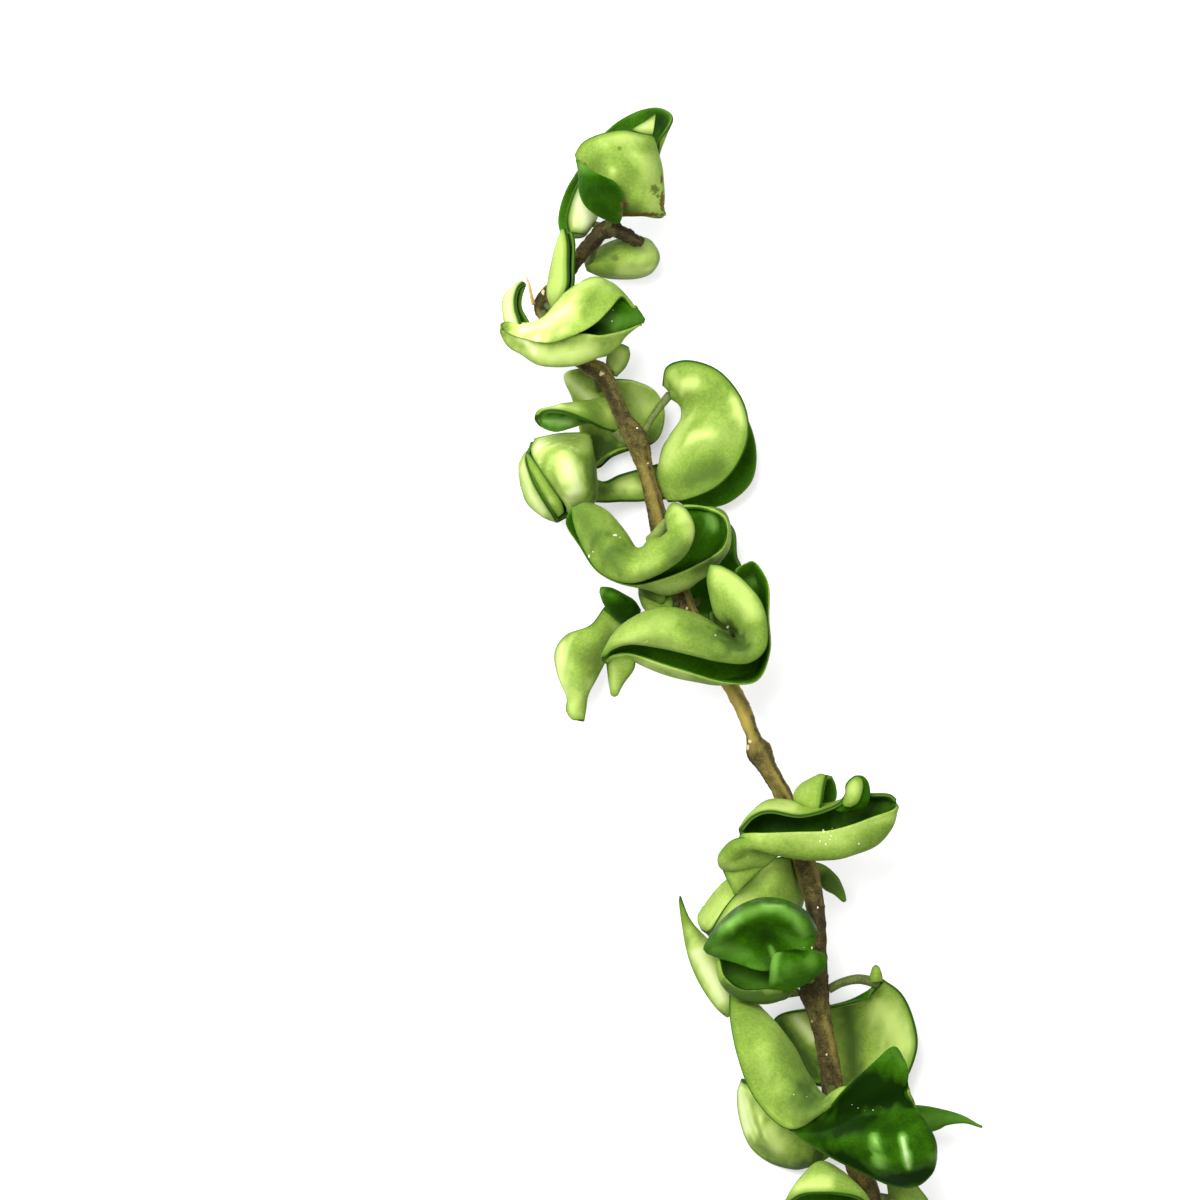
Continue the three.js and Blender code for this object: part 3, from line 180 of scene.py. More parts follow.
BARK = {
    "Colour": (0.112, 0.092, 0.024, 1), "Patch_Colour": (0.026, 0.020, 0.006, 1), "Patch_Scale": 620.0,
    "Patch_Amount": 1.0, "Grain_Scale": 2600.0, "Grain_Amount": 0.8,
}
BARK_LIGHT = (0.30, 0.235, 0.048, 1)
BARK_DARK = (0.016, 0.012, 0.005, 1)
BARK_SPECKS = (0.22, 0.18, 0.08, 1)
BARK_PITS = (0.022, 0.016, 0.006, 1)
HAIR_COLOURS = ((0.26, 0.20, 0.07, 1), (0.10, 0.07, 0.025, 1))
THREAD_COLOURS = ((0.50, 0.27, 0.05, 1), (0.62, 0.48, 0.22, 1))
BARK_TONES = [                   # x, y, radius and how much lighter, or below 0 darker
    (127, 47.4, 5, -1.0), (119, 49, 5, -1.2), (113, 55, 4, -0.9), (109, 61, 3, -0.5), (119, 73.8, 3, 0.25),
    (123.4, 79.6, 3, 0.15), (131.4, 104, 4, 0.15), (135, 118, 3, -0.2), (146.6, 138, 5, 1.0),
    (149, 144.4, 3, 0.7), (151.6, 151, 2.2, -0.35), (155, 158, 3.4, 0.25), (160, 172, 3, -0.3),
    (163, 184, 5, -0.75), (163.2, 197, 4.6, -1.0), (164.2, 206, 3.4, -0.4), (168, 224, 6, -0.4),
]
BARK_FLECKS = [                  # x, y, radius and kind, and how it is squeezed both ways
    (120.4, 74.7, 0.5, "cream"), (124, 87.2, 0.2, "white"), (127.4, 85.6, 0.22, "white"),
    (108.6, 58.4, 0.35, "cream", 1, 0.6), (149.2, 149.5, 0.6, "cream", 0.7, 1), (150, 148.3, 0.4, "cream"),
    (151, 152.4, 0.3, "brown"), (150.6, 101, 0.3, "brown"), (163.6, 181.6, 0.12, "white", 1, 0.6),
    (129.6, 92.6, 0.22, "cream"), (137.4, 121.6, 0.3, "cream"), (162.4, 204.4, 0.25, "cream"),
    (165.4, 211, 0.22, "cream"), (161.6, 186, 0.25, "cream"),
]
# A white fleck is a real pale speck in some places and a painted glint on the shiny folds of other leaves.
FLECK_COLOURS = {
    "white": (0.80, 0.80, 0.62, 1), "brown": (0.085, 0.062, 0.018, 1), "olive": (0.09, 0.13, 0.02, 1),
    "black": (0.02, 0.03, 0.008, 1), "cream": (0.52, 0.42, 0.20, 1),
}
TONE_RAGGEDNESS = 0.22           # how uneven the rim of a soft patch is
TONE_BUMPS = 2.6                 # mm between the bumps of its rim
TONE_FALLOFF = 1.4
TONE_SEED = 77
HAIRS = 2600
HAIR_LENGTH = 0.22               # mm
HAIR_SHARES = (0.4, 1.3)         # the shortest and the longest hair, as shares of that length
HAIR_RADIUS = 0.035
HAIR_ROOT = 0.03                 # mm that a hair reaches into the bark
HAIR_LEAN = 0.5                  # 0 stands upright on the bark
HAIR_CORNERS = (0, 2.1, 4.2)     # radians
HAIR_SEED = 5


def smooth(points, at):
    """A curve through the points: uniform Catmull-Rom, ends reflected, at the given stations."""
    points = np.asarray(points, float)
    last = len(points) - 1
    first = np.clip(np.floor(at).astype(int), 0, last - 1)
    f = (at - first).reshape((-1,) + (1,) * (points.ndim - 1))
    longer = np.concatenate([2 * points[:1] - points[1:2], points, 2 * points[-1:] - points[-2:-1]])
    a, b, c, d = longer[first], longer[first + 1], longer[first + 2], longer[first + 3]
    return 0.5 * (2 * b + (c - a) * f + (2 * a - 5 * b + 4 * c - d) * f**2 + (3 * b - a - 3 * c + d) * f**3)


def unit(v):
    return v / np.maximum(np.linalg.norm(v, axis=-1, keepdims=True), 1e-9)


def ripple(points, wavelength, seed, waves=9):
    """A gentle random unevenness, about -1 to 1, with bumps about one wavelength apart."""
    draw = np.random.default_rng(seed)
    heading = unit(draw.normal(size=(waves, 3)))
    pitch = 2 * math.pi / (wavelength * draw.uniform(0.7, 1.5, waves))
    phase = draw.uniform(0, 2 * math.pi, waves)
    return np.sin(points @ (heading * pitch[:, None]).T + phase).sum(-1) / math.sqrt(waves)


def tube(table, sides, steps):
    """The rings of a round shoot along a table of x, y, z and radius, and their outward normals."""
    line = smooth(table, np.linspace(0, len(table) - 1, (len(table) - 1) * steps + 1))
    centre, radius = placed(line[:, :3]), line[:, 3]
    heading = unit(np.gradient(centre, axis=0))
    side = unit(np.cross(heading, RINGS_FROM))
    up = np.cross(side, heading)
    turn = np.linspace(0, 2 * math.pi, sides, endpoint=False)
    out = np.cos(turn)[None, :, None] * side[:, None] + np.sin(turn)[None, :, None] * up[:, None]
    return centre[:, None] + radius[:, None, None] * out, out


def ring_faces(rings, sides, start=0):
    """The faces of a tube closed at both ends, whose first point has the number start."""
    number = start + np.arange(rings * sides).reshape(rings, sides)
    after = np.roll(number, -1, axis=1)
    quads = np.stack([number[:-1], after[:-1], after[1:], number[1:]], axis=-1).reshape(-1, 4)
    return quads.tolist() + [number[0, ::-1].tolist(), number[-1].tolist()]


def piece(name, points, faces, materials, chosen, marks):
    """A smooth mesh in the model's frame from points in mm, with a mark per point for each named value."""
    mesh = bpy.data.meshes.new(name)
    mesh.from_pydata((points * MM).tolist(), [], faces)
    for material in materials:
        mesh.materials.append(material)
    mesh.polygons.foreach_set("material_index", chosen)
    mesh.polygons.foreach_set("use_smooth", [True] * len(faces))
    for mark, values in marks.items():
        mesh.attributes.new(mark, "FLOAT", "POINT").data.foreach_set("value", values)
    made = link(name, mesh)
    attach(made, "root")
    return made


def spread(points, table):
    """The sum of soft patches and strokes with uneven rims, each given by x, y, radius and strength.

    For a stroke, x and y each list the points of its line."""
    total = np.zeros(points.shape[:-1])
    uneven = 1 + TONE_RAGGEDNESS * ripple(points, TONE_BUMPS, TONE_SEED)
    for x, y, radius, strength in table:
        line = placed(np.stack([np.atleast_1d(x), np.atleast_1d(y), np.zeros(np.size(x))], axis=-1))[:, :2]
        near = np.full(total.shape, np.inf)
        for start, end in zip(line, line[1:] if len(line) > 1 else line):
            way = end - start
            share = np.clip(((points[..., :2] - start) @ way) / max(way @ way, 1e-9), 0, 1)
            near = np.minimum(near, np.linalg.norm(points[..., :2] - start - share[..., None] * way, axis=-1))
        total += strength * np.exp(-TONE_FALLOFF * (near / radius * uneven) ** 2)
    return total


def new_group(name, given, results):
    """A shader node group with named inputs and outputs; an example value says what each of them carries."""
    group = bpy.data.node_groups.new(name, "ShaderNodeTree")
    kinds = {1: "NodeSocketFloat", 3: "NodeSocketVector", 4: "NodeSocketColor"}
    for way, sockets in (("INPUT", given), ("OUTPUT", results)):
        for label, value in sockets.items():
            socket = group.interface.new_socket(label, in_out=way, socket_type=kinds[np.size(value)])
            socket.default_value = value
    return group, group.nodes.new("NodeGroupInput").outputs, group.nodes.new("NodeGroupOutput").inputs


def use_group(tree, group, **values):
    """Places a group in a material, sets or joins its inputs by name, and gives its outputs."""
    node = tree.nodes.new("ShaderNodeGroup")
    node.node_tree = group
    for name, value in values.items():
        feed(tree, node.inputs[name.replace("_", " ")], value)
    return node.outputs


# Shared effect: a noise that shifts one colour towards another in patches, with a fine grain on top
def mottle_group():
    group, given, result = new_group(
        "mottle",
        {"Colour": WHITE, "Patch Colour": (0, 0, 0, 1), "Patch Scale": 100.0, "Patch Amount": 0.5,
         "Grain Scale": 2000.0, "Grain Amount": 0.2},
        {"Colour": WHITE, "Grain": 0.5})
    spot = add(group, "TexCoord", out="Object")
    patch = add(group, "TexNoise", Vector=spot, Scale=given["Patch Scale"], Detail=6.0, Roughness=0.62)
    patch = add(group, "MapRange", patch, From_Min=0.35, From_Max=0.68)
    amount = add(group, "Math", patch, given["Patch Amount"], operation="MULTIPLY")
    patched = add(group, "MixRGB", amount, given["Colour"], given["Patch Colour"])
    grain = add(group, "TexNoise", Vector=spot, Scale=given["Grain Scale"], Detail=4.0, Roughness=0.7)
    even = add(group, "MapRange", grain, From_Min=0.3, From_Max=0.7, To_Min=-1.0, To_Max=1.0)
    bright = add(group, "Math", even, given["Grain Amount"], 1.0, operation="MULTIPLY_ADD")
    feed(group, result["Colour"], add(group, "VectorMath", patched, operation="SCALE", Scale=bright))
    feed(group, result["Grain"], grain)
    return group


# Shared effect: one small round blemish at a point of the model, with a ragged outline
def fleck_group():
    group, given, result = new_group(
        "fleck", {"Centre": (0, 0, 0), "Radius": 0.001, "Stretch": (1, 1, 0.1)}, {"Mask": 0.0})
    spot = add(group, "TexCoord", out="Object")
    apart = add(group, "VectorMath", spot, given["Centre"], operation="SUBTRACT")
    shaped = add(group, "VectorMath", apart, given["Stretch"], operation="MULTIPLY")
    far = add(group, "VectorMath", shaped, operation="LENGTH", out="Value")
    ragged = add(group, "TexNoise", Vector=spot, Scale=1600.0, Detail=3.0)
    ragged = add(group, "MapRange", ragged, From_Min=0.3, From_Max=0.7, To_Min=0.6, To_Max=1.5)
    reach = add(group, "Math", ragged, given["Radius"], operation="MULTIPLY")
    ratio = add(group, "Math", far, reach, operation="DIVIDE")
    mask = add(group, "MapRange", ratio, From_Min=0.6, From_Max=1.0, To_Min=1.0, To_Max=0.0)
    feed(group, result["Mask"], mask)
    return group


MOTTLE = mottle_group()
FLECK = fleck_group()


def flecked(tree, colour, flecks):
    """A colour with small blemishes, each given by x, y, radius, kind and how it is squeezed both ways."""
    for x, y, radius, kind, *squeeze in flecks:
        centre = placed((x, y, GROUND_LEVEL)) * MM
        stretch = (*(squeeze or (1, 1)), 0)
        fleck = use_group(tree, FLECK, Centre=centre, Radius=radius * MM, Stretch=stretch)
        colour = add(tree, "MixRGB", fleck["Mask"], colour, FLECK_COLOURS[kind])
    return colour


def shaded(tree, colour, mark, low, high, other):
    """A colour that turns into the other one as a mark of the mesh goes from low to high."""
    band = add(tree, "Attribute", attribute_name=mark, out="Fac")
    band = add(tree, "MapRange", band, From_Min=low, From_Max=high)
    return add(tree, "MixRGB", band, colour, other)


def dotted(tree, colour, other, scale, core, rim, strength):
    """A colour with small dots of the other one, each strong in its core and gone at its rim."""
    dots = add(tree, "TexVoronoi", Scale=scale, out="Distance")
    dots = add(tree, "MapRange", dots, From_Min=core, From_Max=rim, To_Min=strength, To_Max=0.0)
    return add(tree, "MixRGB", dots, colour, other)


def bark_material():
    material, tree = new_material("stem_bark")
    base = use_group(tree, MOTTLE, **BARK)
    colour = shaded(tree, base["Colour"], "tone", 0.0, 1.0, BARK_LIGHT)
    colour = shaded(tree, colour, "tone", 0.0, -1.0, BARK_DARK)
    colour = dotted(tree, colour, BARK_SPECKS, scale=1700.0, core=0.10, rim=0.24, strength=0.5)
    colour = dotted(tree, colour, BARK_PITS, scale=900.0, core=0.08, rim=0.2, strength=0.6)
    surface(tree, Base_Color=flecked(tree, colour, BARK_FLECKS), Roughness=0.7, Specular_IOR_Level=0.1,
            Normal=add(tree, "Bump", Strength=0.7, Distance=0.0004, Height=base["Grain"]))
    return material


def hair_material(name, colour, other):
    material, tree = new_material(name)
    mottled = use_group(tree, MOTTLE, Colour=colour, Patch_Colour=other, Patch_Scale=900.0,
                        Patch_Amount=0.8, Grain_Scale=4000.0, Grain_Amount=0.2)
    surface(tree, Base_Color=mottled["Colour"], Roughness=0.6)
    return material


def hairs(points, out, start):
    """Short spikes with three sides that stand on some of the points. The first corner is number start."""
    draw = np.random.default_rng(HAIR_SEED)
    chosen = draw.integers(0, len(points), HAIRS)
    foot = points[chosen] - HAIR_ROOT * out[chosen]
    lean = unit(out[chosen] + HAIR_LEAN * draw.normal(size=(HAIRS, 3)))
    side = unit(np.cross(lean, draw.normal(size=(HAIRS, 3))))
    other = np.cross(lean, side)
    long = HAIR_LENGTH * draw.uniform(*HAIR_SHARES, (HAIRS, 1))
    corners = [foot + HAIR_RADIUS * (math.cos(a) * side + math.sin(a) * other) for a in HAIR_CORNERS]
    spikes = np.stack(corners + [foot + long * lean], axis=1)
    sides = np.array([(0, 1, 3), (1, 2, 3), (2, 0, 3), (0, 2, 1)])
    faces = start + 4 * np.arange(HAIRS)[:, None, None] + sides
    return spikes.reshape(-1, 3), faces.reshape(-1, 3).tolist()


rings, outward = tube(STEM, STEM_SIDES, STEM_STEPS)
tone = spread(rings, BARK_TONES)
streaks = ripple(STREAKS_ROUND * outward + STREAKS_ALONG * rings, STREAK_WIDTH, STREAK_SEED)
relief = BARK_RELIEF * (1 + np.clip(-tone, 0, 1))
relief = relief * sum(share * ripple(rings, size, seed) for share, size, seed in BARK_RIPPLES)
points = (rings + relief[..., None] * outward).reshape(-1, 3)
faces = ring_faces(len(rings), STEM_SIDES)
spikes, hair_faces = hairs(points, outward.reshape(-1, 3), len(points))
thread = tube(WITHERED_THREAD, THREAD_SIDES, THREAD_STEPS)[0].reshape(-1, 3)
thread_faces = ring_faces(len(thread) // THREAD_SIDES, THREAD_SIDES, len(points) + len(spikes))
stem = piece(
    "stem_bark", np.concatenate([points, spikes, thread]), faces + hair_faces + thread_faces,
    [bark_material(), hair_material("stem_hair", *HAIR_COLOURS), hair_material("dead_stub", *THREAD_COLOURS)],
    [0] * len(faces) + [1] * len(hair_faces) + [2] * len(thread_faces),
    {"tone": np.concatenate([(tone + STREAK_DEPTH * streaks).ravel(), np.zeros(len(spikes) + len(thread))])})
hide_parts("stem")


# The leaves: thick fleshy blades folded along the midrib with the glossy dark upper side inside and the pale
# underside out. A stalk as thick as a match joins each leaf to its node, and a thin line follows most of the
# rounded margins. A table row is a station along the blade, with points from one margin to the other.
BLADE_THICKNESS = 1.3            # mm at the midrib
EDGE_THINNING = 0.45             # share of that lost at the margin
EDGE_RADIUS = 0.42               # mm over which the margin rounds off
EDGE_LINES = (0.0, 0.04, 0.13, 0.27)     # mm from the margin
LINE_SHARE = 0.04                # across a narrow place each of these lines takes at most this share of it,
EDGE_SHARE = 0.16                # and the whole rounding this share
OPEN_END = 3.0                   # mm; a longer end is an open end and not a point
STEPS_ALONG = 9
LINES_ACROSS = 34
FINER = 12                       # how much finer the curve across a blade is drawn to space its lines
WAVE_HEIGHT = 0.1                # mm
WAVE_LENGTH = 6.5
WAVE_FADE = 2.0                  # mm from the margin within which the waves fade, and the swells
SWELL_FADE = 1.5
SIDE_FADE = 3.0                  # how fast a patch fades in where its side turns up
SEEDS_A_LEAF = 10
NO_LINE = 9.0                    # mm; farther from the margin than its bands reach
STALK_SIDES = 16
STALK_STEPS = 8
# In each skin, the colours at the tones 1, 2 and -1 are light, a painted highlight and deep. The tones mix
# the leaf's own lighter and darker patches with painted highlights and painted shade, so light is partly a
# painted highlight and deep partly painted shade. The rim and the line follow the margin: each has the mm
# from it where the band begins and where it is full, and its colour.
UPPER_SIDE = {
    "base": {"Colour": (0.025, 0.090, 0.002, 1), "Patch_Colour": (0.010, 0.042, 0.001, 1),
             "Patch_Scale": 140.0, "Patch_Amount": 0.9, "Grain_Scale": 1800.0, "Grain_Amount": 0.25},
    "light": (0.11, 0.25, 0.036, 1), "painted_highlight": (0.44, 0.54, 0.30, 1), "deep": (0.004, 0.016, 0.001, 1),
    "rim": (1.2, 0.0, (0.029, 0.10, 0.004, 1)), "line": (0.42, 0.16, (0.060, 0.13, 0.016, 1)),
    "gloss": {"Roughness": 0.22, "Specular_IOR_Level": 0.02, "Specular_Tint": (0.5, 0.9, 0.35, 1)},
}
UNDERSIDE = {
    "base": {"Colour": (0.192, 0.290, 0.045, 1), "Patch_Colour": (0.110, 0.190, 0.023, 1),
             "Patch_Scale": 125.0, "Patch_Amount": 0.9, "Grain_Scale": 1700.0, "Grain_Amount": 0.22},
    "light": (0.40, 0.51, 0.135, 1), "painted_highlight": (0.70, 0.77, 0.44, 1), "deep": (0.041, 0.078, 0.013, 1),
    "rim": (1.6, 0.0, (0.075, 0.155, 0.012, 1)), "line": (0.50, 0.20, (0.018, 0.052, 0.004, 1)),
    "gloss": {"Roughness": 0.45, "Specular_IOR_Level": 0.03, "Specular_Tint": (0.9, 1.0, 0.7, 1)},
}
STALK = {
    "base": {"Colour": (0.085, 0.120, 0.022, 1), "Patch_Colour": (0.044, 0.050, 0.013, 1),
             "Patch_Scale": 500.0, "Patch_Amount": 0.8, "Grain_Scale": 2600.0, "Grain_Amount": 0.5},
    "light": (0.20, 0.28, 0.055, 1), "painted_highlight": (0.32, 0.40, 0.12, 1), "deep": (0.035, 0.035, 0.012, 1),
    "rim": (0.001, 0.0, (0.10, 0.20, 0.022, 1)), "line": (0.001, 0.0001, (0.045, 0.17, 0.012, 1)),
    "gloss": {"Roughness": 0.5, "Specular_IOR_Level": 0.2, "Specular_Tint": WHITE},
}


def leaf_surface(name, skin, flecks=()):
    """The marked tones from deep to light and a painted highlight, then the band and the thin line along the
    margin.
    """
    # The tones paint highlights and shade as well as the leaf's own lighter and darker patches.
    material, tree = new_material(name)
    base = use_group(tree, MOTTLE, **skin["base"])
    colour = shaded(tree, base["Colour"], "tone", 0.0, 1.0, skin["light"])
    colour = shaded(tree, colour, "tone", 1.0, 2.0, skin["painted_highlight"])
    colour = shaded(tree, colour, "tone", 0.0, -1.0, skin["deep"])
    colour = shaded(tree, colour, "margin", *skin["rim"])
    colour = shaded(tree, colour, "margin", *skin["line"])
    colour = dotted(tree, colour, skin["deep"], scale=950.0, core=0.10, rim=0.26, strength=0.22)
    pores = add(tree, "Bump", Strength=0.35, Distance=0.0002, Height=base["Grain"])
    surface(tree, Base_Color=flecked(tree, colour, flecks), Normal=pores, **skin["gloss"])
    return material


SKINS = [leaf_surface("leaf_upper_side", UPPER_SIDE), leaf_surface("leaf_underside", UNDERSIDE),
         leaf_surface("leaf_stalk", STALK)]


def edged(low, high, lines, inset):
    """Even positions from low to high, with the fine lines of a rounded margin just inside both ends."""
    widest = (high - low) * LINE_SHARE * np.arange(len(EDGE_LINES))
    near = np.minimum(np.array(EDGE_LINES) * inset, widest)
    rest = min(EDGE_RADIUS * inset, (high - low) * EDGE_SHARE)
    return np.concatenate([low + near, np.linspace(low + rest, high - rest, lines), (high - near)[::-1]])


def run(points, axis):
    """Length along the lines of a grid, from the start and from the end."""
    far = np.cumsum(np.linalg.norm(np.diff(points, axis=axis), axis=-1), axis=axis)
    far = np.insert(far, 0, 0, axis=axis)
    return far, np.take(far, [-1], axis=axis) - far


def rails_along(blade):
    """The smoothed rails of a blade from margin to margin, their stations, and the way its fold faces."""
    rows = np.array(blade["rows"], float)
    stations = placed(rows.reshape(len(rows), -1, 3))
    first = np.linalg.norm((stations[1] - stations[0]).mean(0))
    last = np.linalg.norm((stations[-1] - stations[-2]).mean(0))
    at = edged(0, len(rows) - 1, (len(rows) - 1) * STEPS_ALONG, 2 / (first + last))
    rails = smooth(stations, at)
    near, rib, far = rails[:, 0], rails[:, rails.shape[1] // 2], rails[:, -1]
    heading = np.gradient(rails.mean(1), at, axis=0)
    towards_near = unit(np.cross(heading, near - rib))
    towards_far = unit(np.cross(far - rib, heading))
    out = 1.0
    if blade["up"] == "fold":
        out = np.sign((towards_near * (near - far)).sum() - (towards_far * (near - far)).sum())
    if "bulge" in blade:
        reach = [np.linalg.norm(edge - rib, axis=1, keepdims=True) for edge in (near, far)]
        one = (near + rib) / 2 + out * blade["bulge"][0] * reach[0] * towards_near
        two = (far + rib) / 2 + out * blade["bulge"][1] * reach[1] * towards_far
        rails = np.stack([near, one, rib, two, far], axis=1)
    return rails, at, out


def blade_middle(blade):
    """The grid of the blade's middle surface, its normals towards the dark side, and across from -1 to 1."""
    rails, at, out = rails_along(blade)
    top = rails.shape[1] - 1
    dense = np.linspace(0, top, FINER * top + 1)
    grid, across = [], []
    for rail, curve in zip(rails, smooth(rails.swapaxes(0, 1), dense).swapaxes(0, 1)):
        length = run(curve, 0)[0]
        spots = np.interp(edged(0, length[-1], LINES_ACROSS, 1), length, dense)
        grid.append(smooth(rail, spots))
        across.append(2 * spots / top - 1)
    grid, across = np.array(grid), np.array(across)
    normal = unit(np.cross(np.gradient(grid, at, axis=0), np.gradient(grid, axis=1)))
    fine = len(EDGE_LINES)
    for end, rows, beside in ((0, slice(fine), fine), (-1, slice(-fine, None), -1 - fine)):
        width = np.linalg.norm(np.diff(grid[end], axis=0), axis=1).sum()
        normal[rows] = normal[beside] if width > OPEN_END else unit(normal[beside].mean(0))
    if blade["up"] != "fold":
        out = np.sign(normal[..., 2].sum()) * (1 if blade["up"] == "dark" else -1)
    return grid, normal * out, across


def patches(grid, normal, table, seen):
    """The sum of soft patches, each on the side that it names, dark or pale, where that side faces up.

    One that names no side lies on the side that is mostly seen from above."""
    total = np.zeros(grid.shape[:-1])
    for x, y, radius, strength, *side in table:
        upward = normal[..., 2] * (1 if (side or [seen])[0] == "dark" else -1)
        total += spread(grid, [(x, y, radius, strength)]) * np.clip(SIDE_FADE * upward, 0, 1)
    return total


def skin_faces(grid, normal):
    """The faces of the dark and of the pale side, which share the points along the margin."""
    number = np.arange(grid[..., 0].size).reshape(grid.shape[:2])
    twin = number + number.size
    twin[[0, -1], :] = number[[0, -1], :]
    twin[:, [0, -1]] = number[:, [0, -1]]
    turn = np.cross(np.gradient(grid, axis=0), np.gradient(grid, axis=1))
    order = 1 if (turn * normal).sum() < 0 else -1
    sides = np.array([number, twin])
    quads = [sides[:, :-1, :-1], sides[:, :-1, 1:], sides[:, 1:, 1:], sides[:, 1:, :-1]]
    dark, pale = np.stack(quads, axis=-1).reshape(2, -1, 4)
    return np.array([dark[:, ::order], pale[:, ::-order]])


def blade_solid(blade, seed):
    """The points of one closed blade, the faces of its dark and pale side, and the marks of its points."""
    grid, normal, across = blade_middle(blade)
    gaps = dict(zip("nfse", run(grid, 1) + run(grid, 0)))
    edge = np.minimum.reduce(list(gaps.values()))
    rounding = np.sqrt(1 - (1 - np.clip(edge / EDGE_RADIUS, 0, 1)) ** 2)
    half = BLADE_THICKNESS / 2 * (1 - EDGE_THINNING * np.abs(across) ** 3) * rounding
    seen = "dark" if blade["up"] == "dark" else "pale"
    wave = WAVE_HEIGHT * ripple(grid, WAVE_LENGTH, seed) * np.clip(edge / WAVE_FADE, 0, 1)
    swell = patches(grid, normal, blade.get("swells", ()), seen)
    wave = wave + np.sign(normal[..., 2]) * swell * np.clip(edge / SWELL_FADE, 0, 1)
    points = np.stack([grid + normal * (wave + half)[..., None], grid + normal * (wave - half)[..., None]])
    points[..., 2] = np.maximum(points[..., 2], 0)
    lined = [gaps[letter] for letter in blade.get("margins", "nfse")]
    # The tone mark holds painted highlights and painted shade besides the blade's own lighter and darker
    # patches.
    marks = {"margin": np.minimum.reduce(lined) if lined else np.full(edge.shape, NO_LINE),
             "tone": patches(grid, normal, blade.get("tones", ()), seen)}
    faces = skin_faces(grid, normal)
    used, numbered = np.unique(faces, return_inverse=True)
    marks = {mark: np.tile(values.ravel(), 2)[used] for mark, values in marks.items()}
    return points.reshape(-1, 3)[used], numbered.reshape(faces.shape).tolist(), marks


def stalk_solid(table, tone):
    """The points of a round stalk, its faces after those of the two sides of a blade, and its marks."""
    rings, _ = tube(table, STALK_SIDES, STALK_STEPS)
    count = len(rings) * STALK_SIDES
    marks = {"margin": np.full(count, NO_LINE), "tone": np.full(count, tone)}
    return rings.reshape(-1, 3), ([], [], ring_faces(len(rings), STALK_SIDES)), marks


def blade(up, rows, **look):
    """A blade that is a fold, with its dark side inside, or open with its dark or pale side up.

    bulge rounds the two halves of a fold, margins names the lined sides (near, far, start, end), swells raise
    the surface, and the tones colour it: its own lighter and darker patches, painted highlights and painted
    shade."""
    return {"up": up, "rows": rows, **look}


def grow_leaf(name, stalk, *blades, flecks=(), stalk_tone=0.0, slot="leaf_pale"):
    """One leaf as one mesh: its blades and its stalk, a table of x, y, z and radius."""
    grown.append(name)
    seed = SEEDS_A_LEAF * len(grown)
    solids = [blade_solid(blade, seed + number) for number, blade in enumerate(blades)]
    solids.append(stalk_solid(stalk, stalk_tone))
    start, faces, sides = 0, [], []
    for points, skins, _ in solids:
        for side, corners in enumerate(skins):
            faces += [[start + corner for corner in face] for face in corners]
            sides += [side] * len(corners)
        start += len(points)
    own = SKINS
    if flecks:
        own = [leaf_surface(name + "_upper_side", UPPER_SIDE, flecks),
               leaf_surface(name + "_underside", UNDERSIDE, flecks), SKINS[2]]
    points = np.concatenate([solid[0] for solid in solids])
    marks = {mark: np.concatenate([solid[2][mark] for solid in solids]) for mark in ("margin", "tone")}
    leaf = piece("fine_" + name, points, faces, own, sides, marks)
    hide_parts(name)


grown = []


# First node, below the growing tip: a wide sheet folded upwards with a pointed flap in its mouth and a dark
# lobe rolled over its front, a small fold with its mouth to the left, and an oval fold under the withered
# stem tip. They are young thick flesh, and all three grew on short stalks from one knob of the stem.
# Its tones paint shade along the lower left of the sheet beside the dark lobe, and a few highlights on its
# face.
sheet_fold = blade("fold", [
    (115, 31, 27,  115.6, 32, 27.4,  117.4, 33.6, 26,  116.8, 31.4, 22,  117.6, 29.8, 19),
    (116.6, 28.6, 29,  118, 33, 30,  119.8, 38.4, 26,  119.4, 32, 19,  120.4, 26.8, 16),
    (120, 27, 30,  121, 34, 32,  122, 42.2, 25,  121.6, 33, 17,  123.6, 24, 14),
    (124.4, 26.2, 30,  125, 34, 32.5,  125.8, 42.8, 25,  125.8, 32, 16,  128, 21.8, 15),
    (128, 26.8, 29,  129, 34, 31.5,  129.2, 42.8, 24.5,  129, 32, 17,  132, 21.4, 19),
    (130.2, 27.2, 27.5,  131.6, 34, 28,  132, 43, 24,  130.6, 32, 19,  134.5, 23.6, 23),
    (130.7, 28.4, 26,  132.1, 35.4, 26.5,  132.6, 42.9, 24.5,  131.2, 34, 22,  131.6, 28.2, 23.5),
], swells=[
    (124, 29.5, 4, 0.4), (126, 37, 3, -0.5), (129, 34.5, 3.5, 0.5), (130, 30, 2.5, -0.3),
    (119.5, 31, 3, 0.3),
], tones=[
    (120, 32.4, 3, -0.5), (122.6, 34.4, 1.1, 0.9), (126.6, 31.8, 1.6, 0.4), (123, 30, 1.4, -0.25),
    (129, 37.4, 1.3, -0.3), ((121, 127), (29.4, 27.4), 2.2, 0.5),
    ((123.4, 125, 127), (39, 42, 42), 2.6, -0.9), ((129, 130), (33, 41), 2.6, 0.45), (126, 34, 2.4, -0.25),
    (132, 24, 3, -0.9, "dark"), ((122, 129), (24.6, 22), 1, 0.25, "dark"), (124, 25.6, 3, -0.4, "dark"),
])
mouth_flap = blade("pale", [
    (126, 26.2, 29.4,  126.1, 26.4, 29.4,  126.2, 26.6, 29.4),
    (128.6, 24.6, 27.6,  128.4, 25.9, 28.4,  128.2, 27.2, 28.7),
    (131.1, 22.7, 25,  130.7, 25, 26.4,  130.3, 27.5, 27.2),
], margins="nfs", tones=[(128.5, 25.5, 3, 1.2)])
